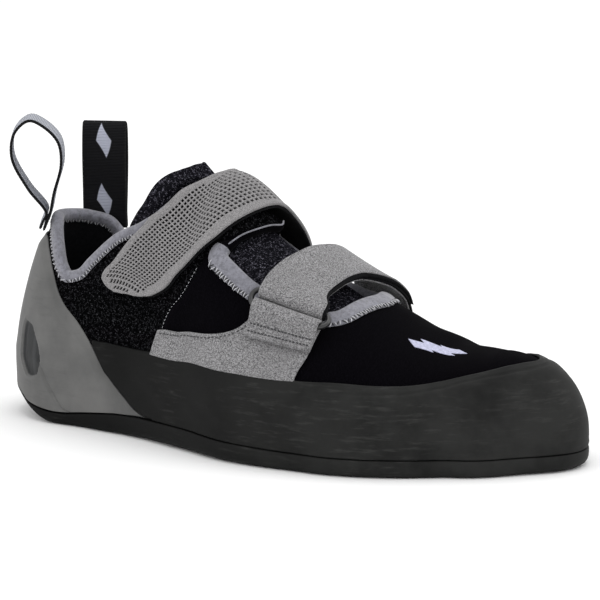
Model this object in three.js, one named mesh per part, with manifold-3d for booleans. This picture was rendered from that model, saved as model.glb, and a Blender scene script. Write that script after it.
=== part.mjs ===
// A climbing shoe for the right foot, closed by two hook-and-loop straps.
// Millimetres. X runs from heel to toe, +Y is the big toe's side, +Z is up from the floor.
import * as THREE from "three";
import { mergeVertices } from "three/addons/utils/BufferGeometryUtils.js";
import Module from "manifold-3d";

const wasm = await Module();
wasm.setup();

// Driving sizes of the last, the form that the upper is pulled over.
const LAST_LENGTH = 239;
const HEEL_WIDTH = 60;
const BALL_WIDTH = 88;
const INSTEP_HEIGHT = 97;
const TOE_HEIGHT = 38;
const GIRTH_HEIGHT = 34;
const SOLE_HEIGHT = 7;
const FEATHER_TUCK = 4;

// Walls, gaps and overlays.
const GAP = 0.4;
const EDGE_GAP = 0.6;
const FOOT_GAP = 1;
const UPPER_WALL = 2;
const RAND_WALL = 2;
const OVERLAY_WALL = 1.2;
const BINDING_WALL = 0.9;
const BINDING_WIDTH = 6.6;
const COLLAR_WIDTH = 4.4;
const PIPING_WIDTH = 2;
const TONGUE_WALL = 1.8;
const INSOLE_HEIGHT = 3;
const INSOLE_BEVEL = 1;
// How deep a cutter reaches past the wall that it cuts.
const CUT_DEPTH = 7;

// The sole's curves on the floor.
const HEEL_SPRING = 11;
const TOE_SPRING = 0.5;
// The arch lifts by these on the outer and on the inner side.
const ARCH_OUTER = 0.6;
const ARCH_INNER = 3.5;
const TREAD_BEVEL = 2;
const RIM_BEVEL = 0.6;

// Straps, ring and pull loops.
const ANKLE_STRAP_WALL = 2.2;
const TOE_STRAP_WALL = 1.8;
const RING_WIRE = 2.2;
const KEEPER_WALL = 1.2;
const LOOP_WIDTH = 17;
const LOOP_WALL = 1.2;
const LOOP_HEIGHT_OUTER = 39;
const LOOP_HEIGHT_INNER = 38;
const LOOP_FOOT = 7;

// Ring stations run from 0, the middle of the heel's back, to 1, the tip of the toe, on each side.
// The plan fans out round a heel centre up to HEEL_FAN and round a toe centre from TOE_FAN.
const HEEL_FAN = 0.17;
const TOE_FAN = 0.83;
// A rib climbs from the feather edge at 0, past its widest place at GIRTH, to the ridge at 1.
const GIRTH = 0.25;
const TUCK_ANGLE = (70 * Math.PI) / 180;

// Sections of the last. ball: how far the local width has gone from heel to ball. lateral, medial: reach as a
// share of that width. low: feather edge by SOLE_HEIGHT. wide: widest place by GIRTH_HEIGHT. toe: how far the
// ridge has come down from instep to toe, times rise. full: how square the dome is. outer, inner: tuck by
// FEATHER_TUCK on each side. swing: the ridge's shift to the big toe's side by BALL_WIDTH.
const LAST = table(
  "at     ball  lateral medial low   wide   toe   rise   full  outer inner swing",
  "0.000  0.00  0.565   0.565  1.75  0.783  0.00  1.080  1.45  2.20  2.20  0.000",
  "0.085  0.00  0.497   0.497  1.45  0.753  0.00  1.100  1.45  1.50  1.50  0.000",
  "0.170  0.00  0.444   0.444  1.26  0.693  0.00  1.180  1.45  1.00  1.00  0.000",
  "0.266  0.25  0.447   0.435  1.25  0.700  0.00  1.280  1.60  1.00  1.25  0.000",
  "0.402  0.50  0.547   0.415  1.28  0.640  0.00  1.010  1.65  1.00  1.50  0.000",
  "0.505  0.75  0.622   0.394  1.14  0.580  0.30  1.000  1.75  1.00  1.25  0.014",
  "0.608  1.00  0.598   0.386  1.03  0.520  0.58  1.000  1.85  1.00  1.00  0.035",
  "0.655  1.00  0.604   0.388  1.01  0.490  0.68  1.000  1.93  1.00  1.00  0.044",
  "0.700  1.00  0.590   0.382  1.00  0.470  0.79  1.000  2.02  1.00  1.00  0.058",
  "0.762  1.00  0.535   0.354  1.00  0.440  0.90  1.000  2.20  1.00  1.00  0.080",
  "0.830  1.00  0.430   0.326  1.00  0.294  1.00  1.104  2.09  1.00  1.00  0.100",
  "0.915  1.00  0.332   0.335  1.00  0.294  1.00  1.104  2.19  1.00  1.00  0.100",
  "1.000  1.00  0.384   0.384  1.00  0.294  1.00  1.104  2.19  1.00  1.00  0.100",
);

// Lines drawn on the last, as heights along the ribs at each station.
const COLLAR_OUTER = table(
  "at     rib",
  "0.000  0.668",
  "0.035  0.667",
  "0.060  0.660",
  "0.090  0.633",
  "0.117  0.592",
  "0.147  0.533",
  "0.164  0.513",
  "0.183  0.515",
  "0.203  0.533",
  "0.242  0.560",
  "0.283  0.588",
  "0.312  0.636",
  "0.338  0.720",
  "0.363  0.843",
  "0.387  1.000",
);
const COLLAR_INNER = table(
  "at     rib",
  "0.000  0.668",
  "0.054  0.660",
  "0.105  0.640",
  "0.140  0.615",
  "0.166  0.575",
  "0.190  0.535",
  "0.214  0.522",
  "0.239  0.538",
  "0.268  0.575",
  "0.296  0.620",
  "0.312  0.652",
  "0.337  0.730",
  "0.362  0.850",
  "0.387  1.000",
);
const RAND_TOP = table(
  "at     rib",
  "0.226  0.348",
  "0.362  0.362",
  "0.505  0.401",
  "0.606  0.439",
  "0.686  0.496",
  "0.750  0.545",
  "0.793  0.630",
  "0.826  0.700",
  "0.878  0.754",
  "0.968  0.788",
  "1.000  0.790",
);
const HEEL_RAND_TOP = table(
  "at     rib",
  "0.000  0.610",
  "0.062  0.606",
  "0.100  0.570",
  "0.127  0.518",
  "0.150  0.466",
  "0.196  0.391",
  "0.240  0.287",
  "0.279  0.143",
  "0.309  0.043",
  "0.338  0.004",
);
const HEEL_WINDOW = table(
  "at     rib",
  "0.081  0.386",
  "0.104  0.378",
  "0.121  0.325",
  "0.127  0.269",
  "0.125  0.190",
  "0.112  0.158",
  "0.097  0.153",
  "0.084  0.213",
  "0.076  0.311",
  "0.076  0.365",
);
const OVERLAY_TOP = table(
  "at     rib",
  "0.342  0.372",
  "0.347  0.400",
  "0.353  0.415",
  "0.400  0.439",
  "0.440  0.456",
  "0.467  0.478",
  "0.491  0.510",
  "0.504  0.537",
  "0.515  0.574",
  "0.522  0.592",
  "0.567  0.599",
  "0.613  0.606",
);
const RAND_START = 0.228;
const RAND_SEAM = 0.012;
const OVERLAY_SEAM = 0.006;
const HEEL_RAND_END = 0.335;

// The throat's hole. aside: distance from the ridge as a share of the rib. back, front: stations of its ends.
const THROAT = table(
  "aside  back   front",
  "0.000  0.487  0.640",
  "0.062  0.480  0.636",
  "0.141  0.471  0.630",
  "0.231  0.455  0.621",
  "0.260  0.450  0.609",
  "0.297  0.443  0.585",
  "0.318  0.440  0.558",
);
const THROAT_ASIDE = THROAT.aside.at(-1);

// The tongue's top edge, behind the ankle strap, and how far it reaches down each side and under the vamp.
const TONGUE_TOP = table(
  "aside  back",
  "0.000  0.352",
  "0.100  0.345",
  "0.170  0.334",
  "0.220  0.322",
  "0.265  0.310",
  "0.310  0.298",
  "0.353  0.284",
  "0.385  0.269",
  "0.420  0.258",
);
const TONGUE_ASIDE = 0.42;
const TONGUE_FRONT = 0.707;
const TONGUE_RISE = 4.6;
const TONGUE_STAND = 7.5;
const TONGUE_BEND = [0, 0.008, 0.016, 0.024];
const TONGUE_FLAT = 0.05;

// The straps' edges on the last. aside: distance from the ridge, negative on the outer side, as a share of
// the rib. back, front: stations of the two edges. lift: the strap's height off the last in millimetres.
const ANKLE_STRAP = table(
  "aside   back   front  lift",
  "-0.549  0.268  0.285  1.9",
  "-0.541  0.257  0.311  1.9",
  "-0.530  0.249  0.326  1.9",
  "-0.518  0.244  0.339  1.9",
  "-0.505  0.248  0.348  1.9",
  "-0.492  0.259  0.356  1.9",
  "-0.466  0.273  0.368  1.9",
  "-0.434  0.288  0.378  2.0",
  "-0.395  0.305  0.393  2.0",
  "-0.362  0.315  0.406  2.1",
  "-0.329  0.328  0.417  2.2",
  "-0.287  0.338  0.429  2.3",
  "-0.238  0.347  0.438  2.5",
  "-0.152  0.365  0.451  2.9",
  "-0.072  0.377  0.460  3.4",
  "0.000   0.388  0.466  4.0",
  "0.100   0.391  0.472  4.2",
  "0.200   0.391  0.479  4.2",
  "0.300   0.388  0.484  3.8",
  "0.420   0.380  0.482  2.6",
  "0.600   0.366  0.470  0.4",
);
const TOE_STRAP = table(
  "aside   back   front  lift",
  "-0.345  0.519  0.615  3.0",
  "-0.290  0.519  0.612  2.9",
  "-0.243  0.521  0.602  2.9",
  "-0.203  0.524  0.599  2.9",
  "-0.142  0.531  0.601  3.0",
  "-0.081  0.536  0.603  3.1",
  "0.000   0.544  0.608  3.3",
  "0.100   0.549  0.622  4.2",
  "0.200   0.552  0.634  5.0",
  "0.300   0.552  0.640  5.0",
  "0.400   0.552  0.640  3.6",
  "0.520   0.550  0.635  2.0",
);
// The ring leans: its place aside grows by RING_LEAN for each station forward.
const RING_ASIDE = -0.344;
const RING_LEAN = 0.4;
const RING_CORNER = 3.2;
const RING_REACH = 6.6;
const RING_MARGIN = 2.4;
const RING_LIFT = 5;
const KEEPER_LENGTH = 11;
const TOE_STRAP_FREE = 0.36;
// How far along the strap its two layers take to come together.
const FOLD_BLEND = 0.13;
const STRAP_STEP = 0.055;
const LOOP_PARTS = 26;

// The pull loops' paths over the collar, outward and upward as shares of their heights.
const OUTER_LOOP = table(
  "out    up",
  "-0.05  0.24",
  "-0.13  0.55",
  "-0.10  0.78",
  "0.05   0.94",
  "0.20   1.00",
  "0.35   0.87",
  "0.38   0.62",
  "0.22   0.30",
);
const INNER_LOOP = table(
  "out    up",
  "-0.02  0.30",
  "-0.04  0.65",
  "0.00   0.94",
  "0.04   0.99",
  "0.09   0.94",
  "0.12   0.62",
  "0.08   0.28",
);
const OUTER_LOOP_PLACE = 0.04;
const INNER_LOOP_PLACE = -0.12;
const COLLAR_BOUND = 0.339;

// Rows of text to an object with one array for each named column.
function table(header, ...rows) {
  const names = header.trim().split(/\s+/);
  const cells = rows.map((row) => row.trim().split(/\s+/).map(Number));
  return Object.fromEntries(names.map((name, i) => [name, cells.map((row) => row[i])]));
}

const mix = (a, b, t) => a + (b - a) * t;
const clamp = (x, low, high) => Math.min(Math.max(x, low), high);
const smooth = (low, high, x) => {
  const t = clamp((x - low) / (high - low), 0, 1);
  return t * t * (3 - 2 * t);
};
const steps = (from, to, count) => Array.from({ length: count + 1 }, (_, i) => mix(from, to, i / count));

// A smooth curve through the table's points that never overshoots them.
function curve(keys, values, x) {
  const last = keys.length - 1;
  const at = clamp(x, keys[0], keys[last]);
  let i = 0;
  while (i < last - 1 && at > keys[i + 1]) i += 1;
  const slope = (k) => (values[k + 1] - values[k]) / (keys[k + 1] - keys[k]);
  const tangent = (k) => {
    if (k === 0 || k === last || slope(k - 1) * slope(k) <= 0) return 0;
    const before = keys[k] - keys[k - 1];
    const after = keys[k + 1] - keys[k];
    const weight = (2 * after + before) / slope(k - 1) + (2 * before + after) / slope(k);
    return (3 * (before + after)) / weight;
  };
  const span = keys[i + 1] - keys[i];
  const t = (at - keys[i]) / span;
  return (
    values[i] * (1 + 2 * t) * (1 - t) ** 2 +
    tangent(i) * span * t * (1 - t) ** 2 +
    values[i + 1] * t * t * (3 - 2 * t) +
    tangent(i + 1) * span * t * t * (t - 1)
  );
}

const sizeOf = (name, at) => curve(LAST.at, LAST[name], at);
const sideOf = (ring) => (ring <= 1 ? -1 : 1);
const wrap = (ring) => ((ring % 2) + 2) % 2;
// A place round the shoe: 0 to 1 is the outer side, heel to toe, and 1 to 2 the inner side, toe to heel.
const stationOf = (ring) => (ring <= 1 ? ring : 2 - ring);

const HEEL_CENTRE = 0.5 * HEEL_WIDTH;
const TOE_CENTRE = LAST_LENGTH - LAST.lateral.at(-1) * BALL_WIDTH;
const SPINE_RATE = (TOE_CENTRE - HEEL_CENTRE) / (TOE_FAN - HEEL_FAN);

// The facts of one rib: where it stands on the spine, which way it faces, and its heights and reach.
function ribFacts(ringAt) {
  const ring = wrap(ringAt);
  const at = stationOf(ring);
  const outer = sideOf(ring) < 0;
  const width = mix(HEEL_WIDTH, BALL_WIDTH, sizeOf("ball", at));
  let turn = 0;
  if (at < HEEL_FAN) turn = ((at / HEEL_FAN - 1) * Math.PI) / 2;
  if (at > TOE_FAN) turn = (((at - TOE_FAN) / (1 - TOE_FAN)) * Math.PI) / 2;
  return {
    at,
    side: sideOf(ring),
    x: clamp(HEEL_CENTRE + (at - HEEL_FAN) * SPINE_RATE, HEEL_CENTRE, TOE_CENTRE),
    y: sizeOf("swing", at) * BALL_WIDTH,
    turn,
    reach: width * sizeOf(outer ? "lateral" : "medial", at),
    tuck: FEATHER_TUCK * sizeOf(outer ? "outer" : "inner", at),
    low: sizeOf("low", at) * SOLE_HEIGHT,
    wide: sizeOf("wide", at) * GIRTH_HEIGHT,
    ridge: ridgeHeight(at),
    full: sizeOf("full", at),
  };
}

const ridgeHeight = (at) => mix(INSTEP_HEIGHT, TOE_HEIGHT, sizeOf("toe", at)) * sizeOf("rise", at);
// The slope of the ridge where the toe's fan starts, which the fan's ribs take up.
const TOE_SLOPE = (ridgeHeight(TOE_FAN) - ridgeHeight(TOE_FAN - 0.02)) / (0.02 * SPINE_RATE);

// A point at distance reach out from the spine at a ring place.
function out(facts, reach, height) {
  return new THREE.Vector3(
    facts.x + reach * Math.sin(facts.turn),
    facts.y + facts.side * reach * Math.cos(facts.turn),
    height,
  );
}

// The last's surface, at a ring place and a height along the rib.
function last(ring, rib) {
  const f = ribFacts(ring);
  if (rib <= GIRTH) {
    const angle = (1 - rib / GIRTH) * TUCK_ANGLE;
    const inward = (1 - Math.cos(angle)) / (1 - Math.cos(TUCK_ANGLE));
    const downward = Math.sin(angle) / Math.sin(TUCK_ANGLE);
    return out(f, f.reach - f.tuck * inward, f.wide - (f.wide - f.low) * downward);
  }
  const angle = (clamp((rib - GIRTH) / (1 - GIRTH), 0, 1) * Math.PI) / 2;
  const reach = f.reach * Math.cos(angle) ** (2 / f.full);
  const dip = f.at > TOE_FAN ? TOE_SLOPE * reach * Math.sin(f.turn) * (1 - reach / f.reach) ** 2 : 0;
  return out(f, reach, f.wide + (f.ridge - f.wide) * Math.sin(angle) ** (2 / f.full) + dip);
}

const NUDGE = 1e-3;
// The way out of the last's surface. At the ridge both sides share one direction.
function normal(ring, rib) {
  if (rib > 1 - 2 * NUDGE) {
    const at = Math.min(ribFacts(ring).at, TOE_FAN);
    const ahead = last(at + NUDGE, 1).sub(last(at - NUDGE, 1));
    return new THREE.Vector3(-ahead.z, 0, ahead.x).normalize();
  }
  const along = last(ring + NUDGE, rib).sub(last(ring - NUDGE, rib));
  const up = last(ring, rib + NUDGE).sub(last(ring, Math.max(rib - NUDGE, 0)));
  return along.cross(up).normalize();
}

// A point lifted off the last by some millimetres.
const skin = (ring, rib, lift) => last(ring, rib).addScaledVector(normal(ring, rib), lift);
// The same, by station and by distance aside from the ridge, negative on the outer side.
const ringOf = (at, aside) => (aside < 0 ? at : 2 - at);
const over = (at, aside, lift) => skin(ringOf(at, aside), 1 - Math.abs(aside), lift);

const collarRib = (ringAt) => {
  const ring = wrap(ringAt);
  const line = ring <= 1 ? COLLAR_OUTER : COLLAR_INNER;
  return curve(line.at, line.rib, stationOf(ring));
};
const lineRib = (line, ring) => curve(line.at, line.rib, stationOf(wrap(ring)));

// A closed solid from points and triangles. Points that coincide are joined.
function solid(points, faces) {
  const geometry = new THREE.BufferGeometry();
  geometry.setAttribute("position", new THREE.Float32BufferAttribute(points.flatMap((p) => p.toArray()), 3));
  geometry.setIndex(faces.flat());
  const merged = mergeVertices(geometry, 1e-3);
  const index = merged.index.array;
  const kept = [];
  for (let i = 0; i < index.length; i += 3) {
    const [a, b, c] = index.slice(i, i + 3);
    if (a !== b && b !== c && c !== a) kept.push(a, b, c);
  }
  const build = (triangles) =>
    new wasm.Manifold(
      new wasm.Mesh({
        numProp: 3,
        vertProperties: merged.attributes.position.array,
        triVerts: new Uint32Array(triangles),
      }),
    );
  const made = build(kept);
  return made.volume() > 0 ? made : build(kept.reverse());
}

// Closed section loops, one after another, joined into a skin. ends: "round" joins the last loop to the
// first, and "flat" closes both with a fan. keep(i, k) may leave out the face between loops i, i + 1 and
// places k, k + 1, where two sides of one shell meet.
function loft(loops, ends, keep = () => true) {
  const size = loops[0].length;
  const points = loops.flat();
  const faces = [];
  const rows = ends === "round" ? loops.length : loops.length - 1;
  for (let i = 0; i < rows; i += 1) {
    const next = (i + 1) % loops.length;
    for (let k = 0; k < size; k += 1) {
      if (!keep(i, k)) continue;
      const beside = (k + 1) % size;
      const [a, b, c, d] = [i * size + k, next * size + k, next * size + beside, i * size + beside];
      faces.push([a, b, c], [a, c, d]);
    }
  }
  if (ends === "flat") {
    // Loops are long and thin, so their ends are closed by a strip from side to side.
    const cap = (start, turn) => {
      for (let k = 0; k < size / 2 - 1; k += 1) {
        const quad = [k, k + 1, size - 2 - k, size - 1 - k].map((place) => start + place);
        const [a, b, c, d] = turn ? quad.reverse() : quad;
        faces.push([a, b, c], [a, c, d]);
      }
    };
    cap(0, false);
    cap((loops.length - 1) * size, true);
  }
  return solid(points, faces);
}

// A sheet between two surfaces: ring places and, at each, a foot and a top on the rib.
function sheet(rings, foot, top, inside, outside) {
  const loops = rings.map((ring) => {
    const ribs = ribsBetween(foot(ring), top(ring));
    return [...ribs.map((rib) => inside(ring, rib)), ...ribs.reverse().map((rib) => outside(ring, rib))];
  });
  return loft(loops, "flat");
}

// A sheet over the ridge: stations from back to front at each distance aside.
function saddle(asides, back, front, parts, inside, outside) {
  const loops = asides.map((aside) => {
    const ats = steps(back(Math.abs(aside)), front(Math.abs(aside)), parts);
    return [
      ...ats.map((at) => over(at, aside, outside)),
      ...ats.reverse().map((at) => over(at, aside, inside)),
    ];
  });
  return loft(loops, "flat");
}

const COLLAR_END = COLLAR_OUTER.at.at(-1);
// The ring's places, closer together where the outline turns.
const SIDE_STATIONS = [
  ...steps(0, HEEL_FAN - 0.02, 6).slice(0, -1),
  ...steps(HEEL_FAN - 0.02, 0.235, 6).slice(0, -1),
  ...steps(0.235, COLLAR_END, 5).slice(0, -1),
  ...steps(COLLAR_END, TOE_FAN, 10).slice(0, -1),
  ...steps(TOE_FAN, 1, 7),
];
const RINGS = [...SIDE_STATIONS, ...SIDE_STATIONS.slice(1, -1).reverse().map((at) => 2 - at)];
// Heights along a rib that every piece on the last shares, so that their facets lie side by side.
const RIBS = [0, 0.12, ...steps(GIRTH, 1, 9)];

// The shared ring places from one to another, both of these with them.
function ringsBetween(from, to) {
  const all = [-1, 0, 1].flatMap((turn) => RINGS.map((ring) => ring + 2 * turn));
  const inner = all.filter((ring) => ring > from + 0.004 && ring < to - 0.004);
  return [from, ...inner.sort((a, b) => a - b), to];
}

// The shared heights held between two others, as many at every ring place.
const ribsBetween = (foot, top) => RIBS.map((rib) => clamp(rib, foot, top));

// The upper: one wall, open at the collar, at the throat and underneath.
function upper() {
  const shut = (ring) => stationOf(wrap(ring)) >= COLLAR_END;
  const loops = RINGS.map((ring) => {
    const ribs = ribsBetween(0, collarRib(ring));
    return [
      ...ribs.map((rib) => skin(ring, rib, 0)),
      ...ribs.reverse().map((rib) => skin(ring, rib, -UPPER_WALL)),
    ];
  });
  const rim = loops[0].length / 2 - 1;
  const open = (i) => !shut(RINGS[i]) || !shut(RINGS[(i + 1) % RINGS.length]);
  const shell = loft(loops, "round", (i, k) => k !== rim || open(i));
  const asides = steps(-THROAT_ASIDE, THROAT_ASIDE, 16);
  const throat = saddle(
    asides,
    (aside) => curve(THROAT.aside, THROAT.back, aside),
    (aside) => curve(THROAT.aside, THROAT.front, aside),
    4,
    -2 * UPPER_WALL,
    2 * UPPER_WALL,
  );
  return shell.subtract(throat);
}

// One millimetre into the wall, square to an edge that runs from before to after, as a step on the chart.
// A chart lays two coordinates and a lift on the last: skin by ring and rib, over by station and aside.
function inwardStep(chart, place, before, after, way) {
  const [u, v] = place;
  const e = NUDGE;
  const alongU = chart(u + e, v, 0).sub(chart(u - e, v, 0)).divideScalar(2 * e);
  const alongV = chart(u, v + e, 0).sub(chart(u, v - e, 0)).divideScalar(2 * e);
  const edge = chart(...after, 0).sub(chart(...before, 0));
  const lifted = chart(u, v, 1).sub(chart(u, v, 0));
  const square = lifted.cross(edge).normalize().multiplyScalar(way);
  const [uu, uv, vv] = [alongU.dot(alongU), alongU.dot(alongV), alongV.dot(alongV)];
  const [su, sv] = [square.dot(alongU), square.dot(alongV)];
  const scale = uu * vv - uv * uv;
  return [(su * vv - sv * uv) / scale, (sv * uu - su * uv) / scale];
}

// A U of edging round a wall's edge, at places along it, each with its step into the wall.
function edging(chart, places, width, ends) {
  const loops = places.map(({ place, inward }, i) => {
    const at = (away, lift) => chart(place[0] + inward[0] * away, place[1] + inward[1] * away, lift);
    const wide = width(i);
    const low = -UPPER_WALL - EDGE_GAP;
    const high = EDGE_GAP;
    const tip = -EDGE_GAP - BINDING_WALL;
    return [
      at(wide, high + BINDING_WALL),
      at(0, high + BINDING_WALL),
      at(tip, high / 2),
      at(tip, low - high / 2),
      at(0, low - BINDING_WALL),
      at(wide, low - BINDING_WALL),
      at(wide, low),
      at(-EDGE_GAP, low),
      at(-EDGE_GAP, high),
      at(wide, high),
    ];
  });
  return loft(loops, ends);
}

function collarBinding() {
  const rings = RINGS.map((ring) => (ring > 1 ? ring - 2 : ring))
    .filter((ring) => Math.abs(ring) <= COLLAR_BOUND)
    .sort((a, b) => a - b);
  const e = 0.004;
  const places = rings.map((ring) => {
    const place = [ring, collarRib(ring)];
    const before = [ring - e, collarRib(ring - e)];
    const after = [ring + e, collarRib(ring + e)];
    return { place, inward: inwardStep(skin, place, before, after, -1) };
  });
  return edging(skin, places, () => COLLAR_WIDTH, "flat");
}

// The throat's outline as places on the last, and the edging round it: narrow piping on the ankle's side.
function throatBinding() {
  const side = steps(THROAT_ASIDE, 0, 8).slice(0, -1);
  const back = (aside) => [curve(THROAT.aside, THROAT.back, Math.abs(aside)), aside];
  const front = (aside) => [curve(THROAT.aside, THROAT.front, Math.abs(aside)), aside];
  const asides = [...side.map((aside) => -aside), 0, ...side.slice().reverse()];
  const between = steps(THROAT.back.at(-1), THROAT.front.at(-1), 5).slice(1, -1);
  const flank = (aside) => between.map((at) => [at, aside]);
  const outline = [
    ...asides.map(front),
    ...flank(THROAT_ASIDE).reverse(),
    ...asides.slice().reverse().map(back),
    ...flank(-THROAT_ASIDE),
  ];
  const count = outline.length;
  const ahead = asides.length;
  const behind = ahead + flank(THROAT_ASIDE).length;
  const narrow = (i) => smooth(behind - 3, behind + 1, i) * smooth(behind + ahead + 2, behind + ahead - 2, i);
  const places = outline.map((place, i) => {
    const before = outline[(i + count - 1) % count];
    const after = outline[(i + 1) % count];
    return { place, inward: inwardStep(over, place, before, after, -1) };
  });
  return edging(over, places, (i) => mix(BINDING_WIDTH, PIPING_WIDTH, narrow(i)), "round");
}

// A band folded or bent along a path of points with a way out at each, seen edge on, and as wide as lines go.
function band(lines, wall) {
  const loops = lines.map((line) => [
    ...line.map(([point, way]) => point.clone().addScaledVector(way, wall / 2)),
    ...line.slice().reverse().map(([point, way]) => point.clone().addScaledVector(way, -wall / 2)),
  ]);
  return loft(loops, "flat");
}

// A line of points with the way out square to it, for paths given by a chart at one fraction of the width.
function thick(points, across) {
  return points.map((point, i) => {
    const before = points[Math.max(i - 1, 0)];
    const after = points[Math.min(i + 1, points.length - 1)];
    return [point, after.clone().sub(before).cross(across).normalize()];
  });
}

const SHARES = [0, 0.25, 0.5, 0.75, 1];

// The upper strap: one layer, sewn to the inner side, over the tongue, its rounded end on the outer side.
function ankleStrap() {
  const t = ANKLE_STRAP;
  const asides = t.aside.flatMap((aside, i) => {
    const next = t.aside[i + 1] ?? aside;
    const count = Math.max(Math.round((next - aside) / STRAP_STEP), 1);
    return i === t.aside.length - 1 ? [aside] : steps(aside, next, count).slice(0, -1);
  });
  const loops = asides.map((aside) => {
    const back = curve(t.aside, t.back, aside);
    const front = curve(t.aside, t.front, aside);
    const lift = curve(t.aside, t.lift, aside);
    const ats = steps(back, front, 4);
    return [
      ...ats.map((at) => over(at, aside, lift + ANKLE_STRAP_WALL)),
      ...ats.reverse().map((at) => over(at, aside, lift)),
    ];
  });
  return loft(loops, "flat");
}

// Stations along the ring's long bars, and how far they lean aside there.
const foldAt = (share) => mix(TOE_STRAP.back[0], TOE_STRAP.front[0], share);
const lean = (at) => RING_LEAN * (at - foldAt(0.5));
const ASIDE_STEP = 1 / over(0.55, -0.36, 0).distanceTo(over(0.55, -0.26, 0)) / 10;
const FOLD_PARTS = 6;

// The lower strap: from the inner side over the tongue, round the ring's upper bar and back over itself.
function toeStrap() {
  const radius = RING_WIRE / 2 + GAP + TOE_STRAP_WALL / 2;
  const t = TOE_STRAP;
  const middle = RING_ASIDE + RING_REACH / 2 * ASIDE_STEP;
  const lines = SHARES.map((share) => {
    const at = (aside) => mix(curve(t.aside, t.back, aside), curve(t.aside, t.front, aside), share);
    const flat = (aside) => smooth(middle, middle + FOLD_BLEND, aside);
    const low = (aside) => mix(RING_LIFT - radius, curve(t.aside, t.lift, aside), flat(aside));
    const apart = (aside) => mix(2 * radius, TOE_STRAP_WALL + GAP, flat(aside));
    const down = steps(t.aside.at(-1), middle, 16).slice(0, -1);
    const back = steps(middle, TOE_STRAP_FREE, 10).slice(1);
    const leaning = (aside) => aside + lean(at(aside)) * (1 - flat(aside));
    const points = [
      ...down.map((aside) => over(at(aside), leaning(aside), low(aside))),
      ...steps(-90, 90, FOLD_PARTS).map((degrees) => {
        const angle = (degrees * Math.PI) / 180;
        const aside = leaning(middle) - Math.cos(angle) * radius * ASIDE_STEP;
        return over(at(middle), aside, RING_LIFT + Math.sin(angle) * radius);
      }),
      ...back.map((aside) => over(at(aside), leaning(aside), low(aside) + apart(aside))),
    ];
    return thick(points, new THREE.Vector3(1, 0, 0));
  });
  return band(lines, TOE_STRAP_WALL);
}

// The tab that holds the ring's lower bar, folded round it, both ends sewn on the side overlay.
function ringKeeper() {
  const radius = RING_WIRE / 2 + EDGE_GAP + KEEPER_WALL / 2;
  const middle = RING_ASIDE - RING_REACH / 2 * ASIDE_STEP;
  const end = middle - KEEPER_LENGTH * ASIDE_STEP;
  const close = middle - 0.5 * KEEPER_LENGTH * ASIDE_STEP;
  const low = OVERLAY_WALL + 2 * GAP + KEEPER_WALL / 2;
  const lines = SHARES.map((share) => {
    const at = mix(foldAt(0) - 0.002, foldAt(1) + 0.002, share);
    const lift = (aside) => mix(low, RING_LIFT - radius, smooth(close, middle, aside));
    const apart = (aside) => mix(KEEPER_WALL + GAP, 2 * radius, smooth(close, middle, aside));
    const place = (aside, height) => over(at, aside + lean(at), height);
    const points = [
      ...steps(end, middle, 5).slice(0, -1).map((aside) => place(aside, lift(aside))),
      ...steps(-90, 90, FOLD_PARTS).map((degrees) => {
        const angle = (degrees * Math.PI) / 180;
        const aside = middle + Math.cos(angle) * radius * ASIDE_STEP;
        return place(aside, RING_LIFT + Math.sin(angle) * radius);
      }),
      ...steps(middle, end, 5).slice(1).map((aside) => place(aside, lift(aside) + apart(aside))),
    ];
    return thick(points, new THREE.Vector3(-1, 0, 0));
  });
  return band(lines, KEEPER_WALL);
}

// The ring: round wire bent to a long loop with rounded corners, lying over the side of the throat.
function ring() {
  const half = RING_REACH / 2 * ASIDE_STEP;
  const [start, end] = [foldAt(0) - RING_MARGIN / SPINE_RATE, foldAt(1) + RING_MARGIN / SPINE_RATE];
  const path = [];
  for (const [side, from] of [[1, 0], [1, 90], [-1, 180], [-1, 270]]) {
    for (const step of [0, 30, 60, 90]) {
      const angle = ((from + step) * Math.PI) / 180;
      const alongSign = Math.cos(((from + 45) * Math.PI) / 180) > 0 ? 1 : -1;
      const at = (alongSign > 0 ? end : start) + (Math.cos(angle) - alongSign) * RING_CORNER / SPINE_RATE;
      const aside = RING_ASIDE + side * half + (Math.sin(angle) - side) * RING_CORNER * ASIDE_STEP;
      path.push(over(at, aside + lean(at), RING_LIFT));
    }
  }
  return wire(path, RING_WIRE / 2);
}

// Round wire along a closed path of points.
function wire(path, radius) {
  const count = path.length;
  const middle = path.reduce((sum, p) => sum.add(p), new THREE.Vector3()).divideScalar(count);
  const face = path[0].clone().sub(middle).cross(path[4].clone().sub(middle)).normalize();
  const loops = path.map((point, i) => {
    const along = path[(i + 1) % count].clone().sub(path[(i + count - 1) % count]).normalize();
    const across = along.clone().cross(face).normalize();
    const up = across.clone().cross(along);
    return steps(0, 2 * Math.PI, 8).slice(0, -1).map((angle) => {
      const [aside, lifted] = [radius * Math.cos(angle), radius * Math.sin(angle)];
      return point.clone().addScaledVector(across, aside).addScaledVector(up, lifted);
    });
  });
  return loft(loops, "round");
}

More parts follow.
